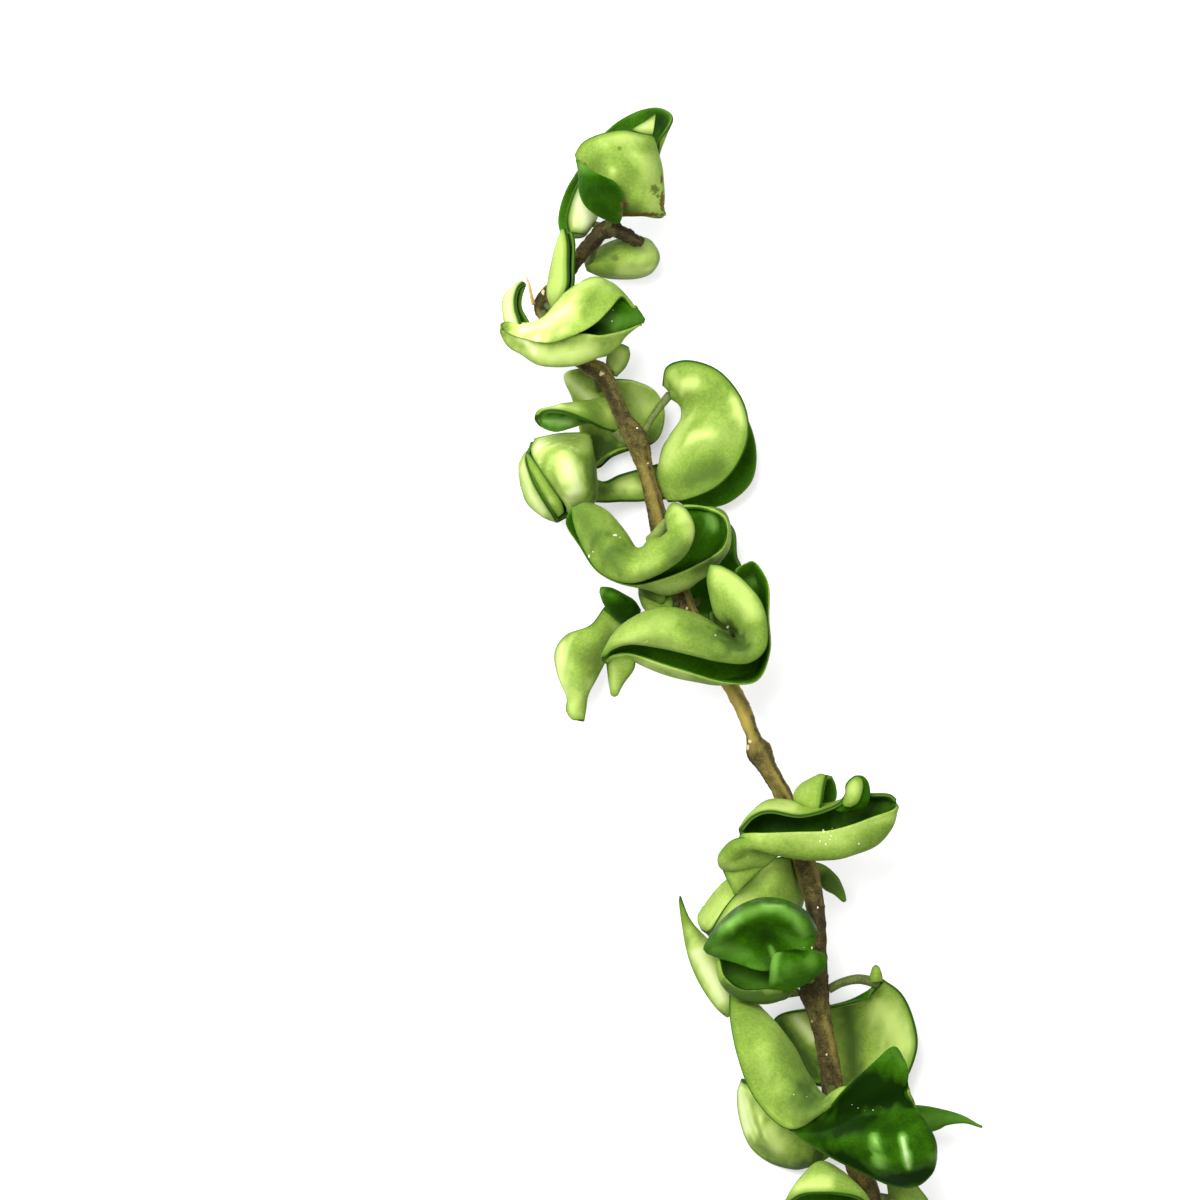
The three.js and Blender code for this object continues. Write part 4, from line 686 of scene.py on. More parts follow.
# Its tones paint a highlight near the upper edge of the lobe.
front_lobe = blade("dark", [
    (115.3, 31.6, 27.2,  115.8, 32, 27.8,  116.6, 32.6, 28),
    (115.8, 35, 28.5,  117.6, 35, 31,  119.4, 34.6, 30),
    (115.8, 38.2, 30,  119.2, 37.6, 33.4,  122, 36, 31.5),
    (116.8, 41, 31,  120.4, 40, 34.4,  124, 37.8, 32),
    (119, 43, 31,  122, 41.6, 33.8,  124.6, 40.4, 31.8),
    (121.6, 44.2, 30,  123.2, 43.4, 31.8,  124.4, 42.8, 30.8),
    (123, 44.6, 29.2,  123.4, 44.5, 29.5,  123.9, 44.3, 29.4),
], tones=[(120.4, 39, 4, -0.7), ((116.8, 119.6), (33.4, 35), 1.6, 0.6)])
grow_leaf("leaf_n1_top", [
    (121.6, 45.4, 24.2, 0.7), (122, 44, 25, 0.7), (122.2, 41.8, 25.2, 0.8),
], sheet_fold, mouth_flap, front_lobe, flecks=[
    (131, 38, 1, "olive"), (131.6, 39.4, 0.5, "olive"), (124, 30, 0.5, "olive"),
    (124.8, 41.2, 0.9, "brown"), (128.5, 43, 0.5, "brown", 0.12, 1), (132.4, 40.5, 0.55, "brown", 1, 0.22),
    (125, 43, 0.6, "brown", 0.5, 1), (117, 33, 0.4, "olive"), (132.3, 36, 0.3, "brown", 1, 0.3),
])

# Its tones paint a pale highlight over the face of this small fold.
left_fold = blade("fold", [
    (115.8, 36.2, 22.4,  116.4, 35, 20.6,  115.4, 34, 18),
    (114.8, 38.2, 23.4,  118.4, 38.8, 18,  113.2, 37.6, 14),
    (113.8, 41, 24.4,  119.2, 42, 17.5,  111.9, 41.4, 12),
    (113.2, 44, 24.6,  118.2, 44.6, 18,  111.6, 44.4, 12),
    (113.6, 46.6, 23.8,  116.4, 47, 18.4,  112.2, 47.2, 14),
], bulge=(0.15, 0.2), tones=[((115, 117), (38.5, 44), 4, 1.9)])
grow_leaf("leaf_n1_left", [(120.4, 45.2, 21, 0.7), (119, 44.8, 19, 0.7), (118, 44.2, 18, 0.8)], left_fold)

# Its tones paint the shadow that the withered stem tip casts on it, and a highlight on its round end.
oval = blade("pale", [
    (116.9, 51.6, 13,  116.9, 52, 14.6,  117, 52.7, 15.2,  117.2, 53.3, 14.8,  117.3, 53.6, 13.6),
    (119.8, 49.4, 10,  120, 50.8, 15.2,  120.2, 52.4, 16.8,  120.4, 54, 15,  120.6, 55, 11),
    (123.2, 47.8, 9,  123.4, 49.4, 15.6,  123.6, 51.8, 17.6,  123.8, 54, 15,  124, 55.4, 10),
    (127.4, 47.2, 9,  127.4, 49, 15.6,  127.4, 51.6, 18,  127.4, 54, 15,  127.4, 55.2, 10),
    (129.8, 47.8, 9.5,  130.2, 49.4, 14.6,  130.4, 51.4, 16.8,  130.2, 53.4, 14.4,  129.8, 54.4, 10.5),
    (131, 49.4, 10,  131.3, 50.2, 12.2,  131.5, 51.2, 13.4,  131.3, 52.2, 12.4,  131, 53, 10.8),
], swells=[(129, 51, 2, 0.4), (124, 52.5, 3, -0.3)], tones=[
    (129, 50.2, 2.6, 0.6), (121, 51, 2.5, -0.35), ((124.6, 129), (53.8, 53.8), 1.8, 0.9),
    ((124.4, 126.8), (48.2, 48.4), 1.4, -1.2),
])
grow_leaf("leaf_n1_right", [
    (120.6, 47, 20.5, 0.7), (118.9, 49.6, 19, 0.7), (117.8, 52.4, 15.6, 0.8),
], oval, flecks=[(123, 51.4, 0.8, "olive")])


# Second node: a narrow leaf folded up to a slit, and a boat round its own mouth with a horn at its left end.
# Both are full-grown flesh, pale outside, and stand on short stalks at the sharp bend of the stem.
slit = blade("fold", [
    (113.2, 45.8, 29,  112.8, 46, 28.5,  112.9, 46.2, 27,  113.6, 46.4, 27,  114.4, 46.6, 29),
    (113.8, 49, 31.5,  111.8, 49.2, 29.5,  112.2, 49.4, 25.5,  114, 49.4, 25.5,  114.8, 49.2, 30.5),
    (113.8, 53, 32,  110.8, 53, 29.5,  111.4, 53, 24.5,  113.8, 53.2, 24.5,  114.7, 53.2, 31),
    (113.8, 57, 32,  110.2, 56.8, 29.5,  111, 57, 24.5,  113.6, 57.2, 24.5,  114.5, 57.2, 30.5),
    (112.9, 59.4, 31,  110.2, 59.4, 29,  111, 59.6, 25,  112.4, 59.6, 25,  113.3, 59.4, 29.5),
    (111.9, 61.6, 28.5,  110.9, 61.8, 27.5,  111.1, 62, 26,  111.6, 62, 26,  112.1, 61.6, 27.5),
], tones=[((112.8, 111.4), (47, 61), 3, 0.6), ((114.8, 114.4), (48, 60), 1.2, 0.9, "dark")])
grow_leaf("leaf_n2_upright", [
    (109.4, 61, 21.5, 0.7), (110.2, 61.6, 24, 0.7), (111.3, 60.8, 26.6, 0.8),
], slit)

# Its tones paint bright highlights along its upper wall and on the tongue inside it, and a little shade.
boat = blade("fold", [
    (100.2, 65.4, 33.2,  100.4, 65.2, 33,  100.5, 65.6, 32.4,  100.4, 66.2, 32.8,  100.2, 65.8, 33.2),
    (101.6, 66.8, 35,  102.4, 65, 33,  102.8, 67, 28.5,  102, 69, 31,  101.4, 66.6, 33.8),
    (105, 68, 37,  105.8, 65.2, 33.5,  105.6, 67.6, 26.5,  104.4, 70.5, 31,  104.8, 67.8, 35.4),
    (110, 68.8, 38,  109.6, 63.4, 34,  109.8, 67.4, 25.5,  108.4, 72.7, 31.5,  109.8, 68.4, 36.2),
    (115.6, 67, 38.5,  114.2, 58.4, 33,  115, 66, 25.5,  115, 72.9, 31.5,  115.8, 67, 36.4),
    (119.2, 64.9, 38.4,  118.4, 56.2, 32.5,  119.8, 62.4, 29.6,  119.6, 71.4, 30,  120, 67.3, 36),
    (121.8, 62.3, 37.4,  121.8, 57, 32,  123.2, 61.2, 31.4,  122.6, 69.8, 29.6,  123.8, 66.5, 33),
    (124.3, 59.5, 35.2,  124.8, 59.7, 32.6,  126.2, 62, 31.8,  125.2, 66.6, 30.4,  126, 65.8, 32),
    (126.4, 61.8, 32.2,  126.8, 62, 31.8,  127.6, 63.2, 31.2,  127.2, 65, 30.8,  127.4, 65.2, 31.4),
    (128.5, 64.3, 30.4,  128.6, 64.4, 30.2,  128.7, 64.6, 30.1,  128.6, 64.8, 30.1,  128.5, 64.8, 30.3),
], margins="", swells=[
    (114, 63, 3.5, 0.6), (119, 59, 3, 0.5), (110.5, 70.5, 3, 0.3), (118.5, 70, 2.5, -0.3),
], tones=[
    ((104.6, 109, 114), (66.2, 65.4, 62.4), 2.8, 1.35), ((115, 118), (58, 57), 2.2, 0.75),
    ((118.4, 117.2), (59.6, 63), 2, -0.5), (120.8, 58.4, 1.8, 0.3),
    ((106.6, 110, 118), (69.8, 71.2, 70.2), 2.4, 1.1), (122.4, 67, 2, 0.3),
    ((121, 123.4), (63.8, 64), 1.8, 0.6, "dark"), (127, 63.6, 2, 0.3, "dark"),
    (124.6, 61.8, 1.2, -0.3, "dark"), (100.6, 65.6, 1.4, -1.2),
    ((103, 108, 114), (67, 68, 67), 1.6, 1.1, "dark"),
])
horn = blade("fold", [
    (105.1, 56.8, 31,  104.8, 56.9, 30.4,  105.3, 57, 30.4),
    (103.9, 57.8, 33,  102.6, 58.4, 29.6,  104.7, 58.6, 30.6),
    (103.3, 59.8, 34,  101.4, 60.2, 29,  104.3, 60.2, 31),
    (103.4, 62, 34.5,  101.3, 62.4, 29,  104.4, 62, 31.5),
    (104, 64, 34.6,  101.6, 64.6, 29.4,  105.4, 63.8, 32),
    (104.6, 66, 34.4,  102.6, 67, 30,  106.4, 65.6, 32.4),
], bulge=(0.16, 0.12), tones=[((103.4, 102.4, 103), (58, 62, 65), 2.4, 1.5)])
# The two white flecks on the tongue are painted glints.
grow_leaf("leaf_n2_boat", [
    (108.8, 62.4, 21, 0.7), (109, 64.6, 23.5, 0.8), (109.8, 67.2, 25.4, 0.9),
], boat, horn, flecks=[(122.4, 64.4, 0.16, "white"), (122.6, 62.2, 0.12, "white")])


# Third node: a small lobe at the right, and a round leaf behind the stem on which the cutting rests. Both are
# thin for this plant, show their pale undersides and grew on short stalks from the back of the stem.
small_lobe = blade("pale", [
    (121.8, 74.6, 13.5,  122.6, 74.9, 13.5,  123.4, 75.2, 13.5),
    (121.2, 72.2, 14,  123.2, 72.8, 14.6,  125.2, 73.2, 14),
    (122, 69.9, 14.5,  124.2, 70.6, 15.6,  126, 71, 14.5),
    (123.8, 68.6, 15,  124.8, 68.8, 15.2,  125.8, 69.3, 15),
], tones=[(124.4, 70.4, 2, 0.5), (122.8, 73, 2.4, 0.8)])
grow_leaf("leaf_n3_lobe", [
    (121, 73.4, 17, 0.6), (121.8, 74.2, 15, 0.6), (122.6, 74.4, 13.8, 0.6),
], small_lobe)

# Its tones paint shade over this low leaf under the stem, darkest at its lower end.
round_blade = blade("pale", [
    (117, 73.2, 12,  120.2, 76, 12.4,  122.4, 75.8, 12),
    (112.7, 74.8, 10,  120.2, 78, 8.2,  127.2, 76.2, 11),
    (114.4, 79.6, 8,  120.8, 81, 5,  131.4, 78.4, 9.5),
    (115.6, 84, 6.5,  121.2, 85, 3.2,  133, 83, 8.5),
    (116.4, 88.4, 6,  121.2, 88.6, 3,  131, 88.2, 8.5),
    (118, 92, 6.5,  120.4, 91.8, 4.6,  123.6, 90, 7.5),
    (118.6, 93.2, 7,  119.2, 93.2, 6.6,  120.2, 92.8, 7),
], margins="", tones=[
    ((115.6, 119), (73.6, 74.6), 1.6, -0.9), ((113.4, 118), (75.4, 79.4), 1.9, 1.4),
    ((127, 130.6), (77.4, 83), 3, 0.6), ((131.4, 130), (84, 88), 2.4, -0.9),
    ((119, 122), (89, 90.6), 3.4, -1.5),
])
grow_leaf("leaf_n3_round", [
    (118.6, 74.6, 15.8, 0.7), (119.2, 76, 13.4, 0.7), (119.8, 77.6, 9.4, 0.8),
], round_blade)


# Fourth node: a leaf rolled shut at its left tip, and the kidney, a large swollen fold at the right. Both are
# thick flesh folded along the rib. The kidney grew on a long thin stalk in front of the stem.
# Its tones paint a highlight on the top of the roll.
rolled_tip = blade("fold", [
    (123.6, 86.4, 15.5,  122.4, 79.8, 13.5,  122, 85.4, 11),
    (120.6, 85.8, 19,  119, 80.2, 17,  120, 85, 14),
    (117.6, 84.4, 24,  115.6, 80.8, 21,  117.6, 84.6, 18.4),
    (114, 83, 26,  112.4, 81.4, 23,  114.4, 85.6, 20.4),
    (111.2, 82.4, 27,  110, 82.2, 24.5,  111.2, 86.4, 22.4),
    (109, 82.6, 27,  108, 82.6, 25.5,  108.6, 85.6, 23.8),
    (108, 83.4, 26.5,  107.6, 83.6, 26,  107.8, 84.4, 25),
], bulge=(0.15, 0.25), tones=[
    ((109, 111.6), (82.2, 81.6), 0.8, 1.3), ((112, 115), (82.6, 82.2), 1.4, 0.5), (118.4, 81.4, 2.4, -0.2),
    (122, 82.6, 2.2, 0.6), ((108.6, 113.6), (84, 84.6), 2, 1.2, "dark"),
    ((114.6, 118.4), (84.4, 84.2), 1.6, -0.5),
])
grow_leaf("leaf_n4_left", [
    (125.8, 88.6, 17, 0.9), (124.6, 87.8, 16.2, 0.9), (122.8, 85.8, 15.2, 1),
], rolled_tip)

# Its tones paint the highlights on the swells of its top and right side, and shade over its lower part.
kidney = blade("fold", [
    (132.4, 77, 20,  133.8, 78.6, 18,  132.8, 77, 15),
    (133.4, 73.2, 22,  134.6, 79.2, 17.5,  134, 74, 12),
    (138, 72, 22.5,  136, 80.2, 17,  138.2, 73, 11),
    (144, 74.2, 22,  136.8, 81.8, 16.5,  143.6, 75.4, 10),
    (148.6, 80, 21.5,  136.6, 84, 16,  148.2, 80.8, 9.5),
    (149.8, 86.6, 21,  134.4, 87.2, 16,  151.2, 88.2, 9.5),
    (147.6, 92.8, 20.5,  132.8, 90.4, 15.5,  150.8, 95.6, 9.5),
    (143.4, 97.4, 20,  132, 94.4, 15,  146.4, 100.2, 9.5),
    (137.6, 100, 19,  132.2, 97.6, 14.5,  141.2, 101.6, 9.5),
    (133.6, 100.4, 17,  133, 99.8, 14.5,  136.8, 101, 11),
], bulge=(0.18, 0.15), swells=[
    (138.6, 76, 4.5, 0.9), (146.5, 82, 4.5, 0.9), (140.8, 87.4, 4, 0.9), (140, 82, 4, -0.6),
    (136, 96, 4, 0.3),
], tones=[
    ((137, 139), (76.4, 76.4), 1.5, 1.1), (134.4, 74.6, 1.5, 0.3), ((147, 149), (80, 84.4), 1.6, 1.1),
    ((139, 142), (87.4, 86.8), 1.2, 0.8), ((138.4, 142.4), (82.8, 82), 2.6, 0.1), (143.6, 79, 3, -0.25),
    ((136.6, 133.8), (84.6, 92), 2.4, 0.6), ((140, 145), (88.6, 86.6), 2.8, 0.3),
    ((138.4, 144), (96, 93.8), 3, -0.75), (135.4, 97, 2, -0.1),
])
grow_leaf("leaf_n4_kidney", [
    (129, 86, 18, 0.75), (131, 82.6, 18.6, 0.75), (134, 78.8, 17.8, 0.9),
], kidney, stalk_tone=0.1)


# Fifth node: a box-like fold with its mouth to the left and a broad neck that runs behind the stem, and a
# leaf that grew in a U round the stem. Both are thick flesh. A pale stalk in front of the stem holds the U.
# Its tones paint highlights in its channel and along its left wall.
box_fold = blade("fold", [
    (106.8, 87.8, 17,  112, 87, 17.4,  117.6, 86.8, 15.4,  111, 87.4, 9,  106, 88.4, 15),
    (106.2, 90.6, 23,  112, 90, 28,  118, 90.2, 19,  105.5, 91.6, 14,  105.4, 91.9, 21),
    (108.6, 94.6, 27,  113.6, 94, 31,  118.4, 94.4, 20,  105.1, 95.8, 14,  106.8, 96.2, 25),
    (111.2, 98.2, 26,  114.8, 98, 29.4,  118.8, 98, 20,  106, 99.8, 14,  108.8, 99.8, 25),
    (112.9, 100.8, 24,  115, 101, 24.4,  118, 100.6, 20,  108.8, 102.6, 16,  110.6, 102.7, 23),
    (113.3, 102.2, 22,  113.6, 102.2, 22,  114, 102.8, 19.5,  112, 104, 18.4,  111.4, 104.2, 20.4),
], swells=[(113.6, 94, 3, 0.5), (109.5, 90, 2.5, 0.3)], tones=[
    ((113, 115.4), (92.8, 97.6), 2.2, 1.4), (112, 89, 2.2, 0.4), ((105.6, 109), (92, 89.6), 1.8, 0.9),
    (116.4, 89.4, 2, 0.4), ((118.4, 118), (92, 99), 1.5, -1), ((116.6, 117), (91.6, 97), 0.5, -0.5),
    ((114.2, 113), (99, 101.4), 1.4, 0.9), ((105.2, 106.4, 108.6), (94, 98, 102), 1.5, 1.5),
    ((106.6, 108), (87.6, 89.4), 1.4, 0.9),
])
box_front = blade("pale", [
    (105.4, 91, 19.6,  105.7, 90.8, 20,  106, 90.6, 20),
    (106, 94, 22.4,  106.9, 93.4, 23,  107.8, 92.8, 23.6),
    (107.6, 98, 23.6,  108.8, 97.2, 24,  110.2, 96.4, 24.6),
    (110, 101.6, 22.4,  111.2, 100.6, 23,  112.4, 99.8, 23.4),
    (111.4, 103.4, 20.6,  112.2, 102.8, 21,  113, 102.2, 21.4),
], tones=[((106, 108.8), (92.6, 97.4), 1.6, 0.1), (110, 100, 1.3, 0.8), (112, 102, 1.2, 0.1)])
# Its tones paint the shadow that the box fold casts on the left end of the neck.
neck = blade("pale", [
    (118, 95, 19.6,  118.2, 97.6, 19.4,  118, 100.4, 19.4),
    (120.8, 96.2, 14,  120.8, 98.4, 13,  121, 100.5, 14),
    (124, 94.8, 10,  124, 97.6, 9,  124.4, 100.3, 10),
    (128, 93.6, 8,  128.2, 97, 7,  128.6, 100.2, 8),
    (131.6, 92.6, 7,  131.8, 96, 6,  132, 99.4, 7),
], tones=[(119.8, 98, 2.4, -0.9), ((123.6, 126), (96.6, 97), 2, 1.1), (128.4, 97, 2, 0.1)])
grow_leaf("leaf_n5_left", [
    (131.4, 105.2, 15.5, 0.8), (130.6, 103, 11.5, 0.8), (129.6, 99, 7.4, 0.9),
], box_fold, box_front, neck)

# Its tones paint shade on its left arm and on the outer side of its rim, and a highlight on the inner wall.
bend = blade("fold", [
    (114.4, 101.2, 31,  116.4, 100.8, 33,  118.2, 101.2, 30,  116.6, 101.7, 28,  114.2, 102, 29),
    (114.8, 105, 32,  118.4, 103, 35,  121.4, 103.2, 31,  118, 105, 26,  113.2, 104.8, 28),
    (116.8, 110, 33,  120.6, 107.4, 36,  124.4, 106.4, 31,  120, 109.6, 25,  115.8, 109, 28),
    (120, 114.6, 34,  123.6, 111.2, 37,  126.8, 110, 31,  124, 113, 25,  119.6, 114.4, 29),
    (125.6, 116.6, 35,  127.6, 113.4, 38,  129, 110, 32,  129, 116.4, 26,  126, 117, 31),
    (131.4, 115, 36,  131, 112, 39,  130.4, 108.4, 33,  133.6, 118.4, 26.6,  132.4, 115.8, 32),
    (136.8, 111.2, 36,  135, 109.8, 39,  132.4, 108.2, 33,  140, 115.4, 26.4,  138.8, 113.2, 31),
    (138.8, 106.4, 35.5,  136.6, 106.6, 38,  134.2, 106.8, 33,  144.4, 109.6, 26,  144.6, 109.4, 31),
    (137.6, 102.4, 34.5,  135.8, 103.8, 36,  134.2, 105.4, 33,  143.6, 102.8, 26,  145, 104, 31),
    (135, 100.6, 33,  134.6, 102, 34,  133.8, 104, 32,  138, 102, 27,  140.8, 101.6, 29),
    (133.6, 101.8, 32,  133.5, 102.6, 32,  133.4, 103.6, 31,  134, 102, 29,  135, 101.4, 29),
], margins="nse", tones=[
    ((116, 118.6), (102, 107.6), 3.6, -0.3), (122.8, 111.4, 4, -0.75), ((117, 120), (103, 108), 3, -0.3),
    ((127, 131.4), (114.4, 112), 1.8, 0.2), ((136.4, 138.4, 138), (102.6, 105, 107.6), 1.7, 0.75),
    ((140.6, 145, 147.4, 146.6, 143), (100.6, 102.6, 106.6, 110.6, 113), 1.5, -1, "pale"),
    ((134, 136), (111, 108.6), 2, -0.6), ((142, 142.4), (103.2, 105.4), 1.2, 1.1, "dark"),
    ((144.4, 146), (101.4, 105.6), 1, 0.3, "dark"), ((146, 144, 138), (108, 111.4, 114.4), 2, -0.9, "dark"),
    ((131.6, 137), (117, 116.4), 1.2, 0.3), ((139, 141.6), (113.6, 112), 1.4, -0.8, "pale"),
])
# The white flecks of this leaf are painted glints.
grow_leaf("leaf_n5_front", [
    (129.9, 107.9, 20, 0.9), (131.2, 107, 22.2, 1.1), (132.8, 105.2, 23.8, 1.1), (134, 104.2, 27, 1),
    (134.3, 104.4, 31.5, 1),
], bend, stalk_tone=0.8, flecks=[
    (123, 107.1, 0.2, "white", 0.5, 1), (124, 107.5, 0.12, "white"), (117.8, 111.2, 0.18, "white", 1, 0.5),
    (118.6, 110.4, 0.1, "white"),
])


# Sixth node: a dark leaf at the back on which the cutting rests, a small curled one, a twisted pale blade
# under its dark upper lobe, and a long wave round a deep hollow with a blunt end. All are thick flesh that
# grew crowded round one node, each on a short stalk of its own.
back_blade = blade("dark", [
    (140, 103.2, 12,  142.4, 102.8, 12,  144.4, 103.4, 13),
    (139.6, 105, 9,  143.6, 105.4, 8,  147, 106.4, 12),
    (139, 110, 7,  143.2, 110, 3.6,  147.4, 111.2, 11),
    (138, 115, 7,  143, 115.6, 3,  148.6, 114.6, 11),
    (137.6, 119, 7.5,  142, 120, 5,  147, 119.6, 9.5),
    (139, 123, 8.5,  142, 123.6, 7.5,  144, 123, 9.5),
], tones=[(146, 109, 1.6, 0.3)])
grow_leaf("leaf_n6_back", [
    (137.4, 121, 15.6, 0.8), (138.4, 121, 12, 0.8), (139.6, 120.4, 7, 0.9),
], back_blade, slot="leaf_dark")

curl = blade("pale", [
    (127.8, 117.2, 20.6,  129.8, 117, 21.6,  132.8, 117.2, 21.8),
    (127.7, 118.8, 20.8,  130.4, 119, 22.4,  134.4, 119, 22.4),
    (128.3, 120.8, 21.2,  130.8, 121, 22.8,  134.8, 121, 22.6),
    (129.3, 122.2, 20.8,  131, 122.5, 21.6,  134, 122.4, 21.6),
], tones=[((128, 132.6), (117.6, 118.4), 1.6, -2.6), (130, 122, 1.2, 0.6)])
curl_back = blade("pale", [
    (127.9, 117.6, 23,  128, 117.2, 23.6,  128.6, 117, 23.8),
    (128, 118.4, 22.6,  129.4, 117.8, 24.8,  130.4, 117, 24.2),
    (129.4, 119.4, 22.6,  130.6, 118.6, 25,  131.6, 117.6, 24.4),
    (130.8, 120.2, 22.6,  131.8, 119.4, 24.6,  132.6, 118.6, 24),
    (132, 120.8, 22.4,  132.6, 120.4, 23.4,  133, 119.8, 23),
], tones=[(130.4, 118, 2.4, -1.2)])
grow_leaf("leaf_n6_curl", [
    (135.4, 120.8, 19.8, 0.7), (134, 121, 21.4, 0.7), (132.6, 121, 22.4, 0.7),
], curl, curl_back)

# Its tones paint a highlight along its left edge.
twist = blade("pale", [
    (120.8, 121.4, 21.4,  122.6, 122.6, 21.8,  125, 124.6, 21),
    (118, 125, 17,  120.6, 126.4, 18.5,  124, 128, 16.5),
    (113.2, 127, 13.5,  117.6, 129, 17.5,  122.4, 130.4, 14.5),
    (111, 130.4, 9.5,  115.6, 132.4, 15.5,  120.8, 133, 12.5),
    (111.6, 135, 9.5,  115, 136, 14.5,  119.2, 136, 11.5),
    (113.4, 139.4, 10.5,  115.4, 139.6, 13.5,  117.6, 139, 11.5),
    (113.2, 142.2, 11.5,  115, 142.4, 12.5,  117.2, 142, 11.5),
    (114.4, 143.8, 11.5,  115.6, 144.2, 12,  116.8, 144.4, 11.5),
], tones=[
    ((112.4, 112.4), (129, 138), 2.2, 1.2), ((117, 123), (131, 127.4), 2.2, -0.35),
    (123.2, 125.2, 1.6, 0.4), ((119.6, 119), (131.6, 134.6), 1.4, -0.3), (117.6, 136.6, 1.8, 0.5),
    (114, 134.6, 1.2, -0.3), ((114.4, 114.8), (139.4, 143), 1.8, 0.4),
])
upper_lobe = blade("dark", [
    (120.2, 117.4, 23.5,  120.3, 117.8, 23.7,  120.3, 118.4, 23.5),
    (122.4, 117.6, 24.5,  121.6, 119.2, 25.5,  120.8, 120.6, 23.5),
    (124.8, 118.8, 24,  123.6, 120.6, 25.2,  122.2, 123, 22.5),
    (126.8, 120, 23,  125.6, 122.4, 24,  124.6, 124.8, 21.5),
    (128, 121.8, 20,  127.4, 123.6, 20.4,  126.8, 125.2, 19.4),
], tones=[(124, 121.4, 3.4, -0.9), ((120.6, 123), (118.4, 119.4), 1, 0.5)])
grow_leaf("leaf_n6_left", [
    (135.6, 122, 18.4, 0.8), (132, 123.4, 18, 0.8), (127, 123.6, 20, 0.9),
], twist, upper_lobe)

# Its tones paint shade in the hollow and highlights on the big lobe and along the long body.
wave = blade("fold", [
    (141.8, 112.7, 33.4,  141.4, 116, 33.8,  143.6, 123, 31,  146, 117.4, 28,  147, 114, 31),
    (144.4, 113.2, 34.4,  144.6, 118.4, 36,  144.6, 124, 31.2,  149.6, 117, 26,  149, 112.8, 30.6),
    (148.4, 115.8, 35,  147.2, 120.2, 37,  145.6, 124.6, 31,  151.6, 118.6, 24,  150.9, 112.6, 30),
    (152, 120, 36,  149.6, 122.4, 37.2,  146.6, 125.4, 31,  152.2, 121.6, 24,  153.4, 116.8, 31),
    (153.4, 125, 36,  151, 125.6, 36.8,  147.4, 126.4, 30.5,  152.4, 126, 24,  153.5, 123.4, 30.6),
    (153, 129.8, 36,  150.6, 129, 36.8,  147.6, 127.6, 30.5,  152.2, 130.4, 24,  153.7, 130.4, 31),
    (149.6, 132.6, 36,  148.2, 130.2, 37.2,  146.4, 128.2, 30.5,  150, 134, 24.5,  151.2, 136, 31),
    (144, 132.4, 36,  143.4, 129, 38,  143, 125.6, 31.5,  144, 135.6, 25,  145, 136.4, 31),
    (138, 131, 36,  138, 127, 38.5,  138.6, 123.4, 32,  137.8, 135, 25.5,  138.4, 134.6, 31),
    (132, 129.6, 35,  132, 126.2, 38,  133, 122.2, 32,  131.6, 133.4, 26,  132.4, 132.8, 31),
    (126, 128.8, 34,  126, 127.2, 35.6,  127, 123.8, 31.5,  126, 131, 27,  126.4, 130.8, 30.5),
    (122.4, 130, 32,  122.4, 129, 32.6,  122.8, 127.6, 30.5,  122.4, 131.4, 28.5,  122.6, 131, 30),
    (120.6, 132, 30.5,  120.7, 131.8, 30.5,  120.8, 131.4, 30,  120.8, 132.4, 29.5,  120.8, 132.2, 30),
], margins="nse", tones=[
    ((143.6, 148, 150.6), (114, 117.6, 123), 2.4, 0.65), ((145.6, 147.4), (125.8, 128.6), 2.5, -1.7),
    ((149, 151), (131, 125), 2.6, -0.35), (137, 122.8, 3, -0.3), ((141.4, 141.6), (114, 118), 1.2, -0.3),
    (150.4, 115.8, 1.4, 0.9, "dark"), ((124.4, 130.4, 137), (129, 125, 124.4), 2, 0.35),
    ((138, 144.4), (126, 129), 2.4, -0.6), ((130, 137.6), (131.6, 133.8), 1.6, 0.8),
    ((126, 136), (129, 128.4), 1.4, 0.25),
])
blunt_end = blade("pale", [
    (121.2, 132, 28.5,  123.6, 130.6, 29.5,  127.2, 131, 28.5),
    (121.4, 134, 26.5,  124, 133.6, 27.5,  126.8, 133.8, 26.5),
    (121.8, 136.4, 24.5,  123.2, 136.8, 25.5,  124.8, 136.4, 24.5),
    (122.4, 138.8, 23.5,  122.8, 139.2, 23.6,  123.4, 138.6, 23.5),
], tones=[((122.4, 123), (133, 138), 1.5, 0.5), (125.6, 133.4, 1.4, 0.1)])
# A sheet that closes the hollow between the arms of the wave; its tones paint it dark all over as the shade
# in that hollow.
hollow = blade("pale", [
    (141.8, 122.6, 27.6,  141.9, 124.4, 27.4,  142.2, 126.6, 28.4),
    (143, 121.8, 26.6,  143.4, 124.6, 26,  144.4, 127.8, 27.6),
    (144.4, 120.6, 26.6,  145.2, 124.4, 25.6,  146.8, 128.8, 27.4),
    (145.4, 119.2, 27.6,  146.6, 122.8, 26.6,  148.6, 127.4, 28),
], margins="", tones=[(144, 125, 6, -2.2)])
grow_leaf("leaf_n6_front", [
    (140.4, 126, 19.6, 0.9), (143, 127, 23, 0.9), (145.4, 127, 29.6, 1),
], wave, blunt_end, hollow, flecks=[
    (129, 128.4, 0.12, "white"), (129.4, 128.2, 0.09, "white"), (143, 127, 0.13, "white"),
    (145.5, 125.4, 0.3, "white", 1, 0.8), (125.3, 137, 0.5, "brown", 1, 0.5),
])
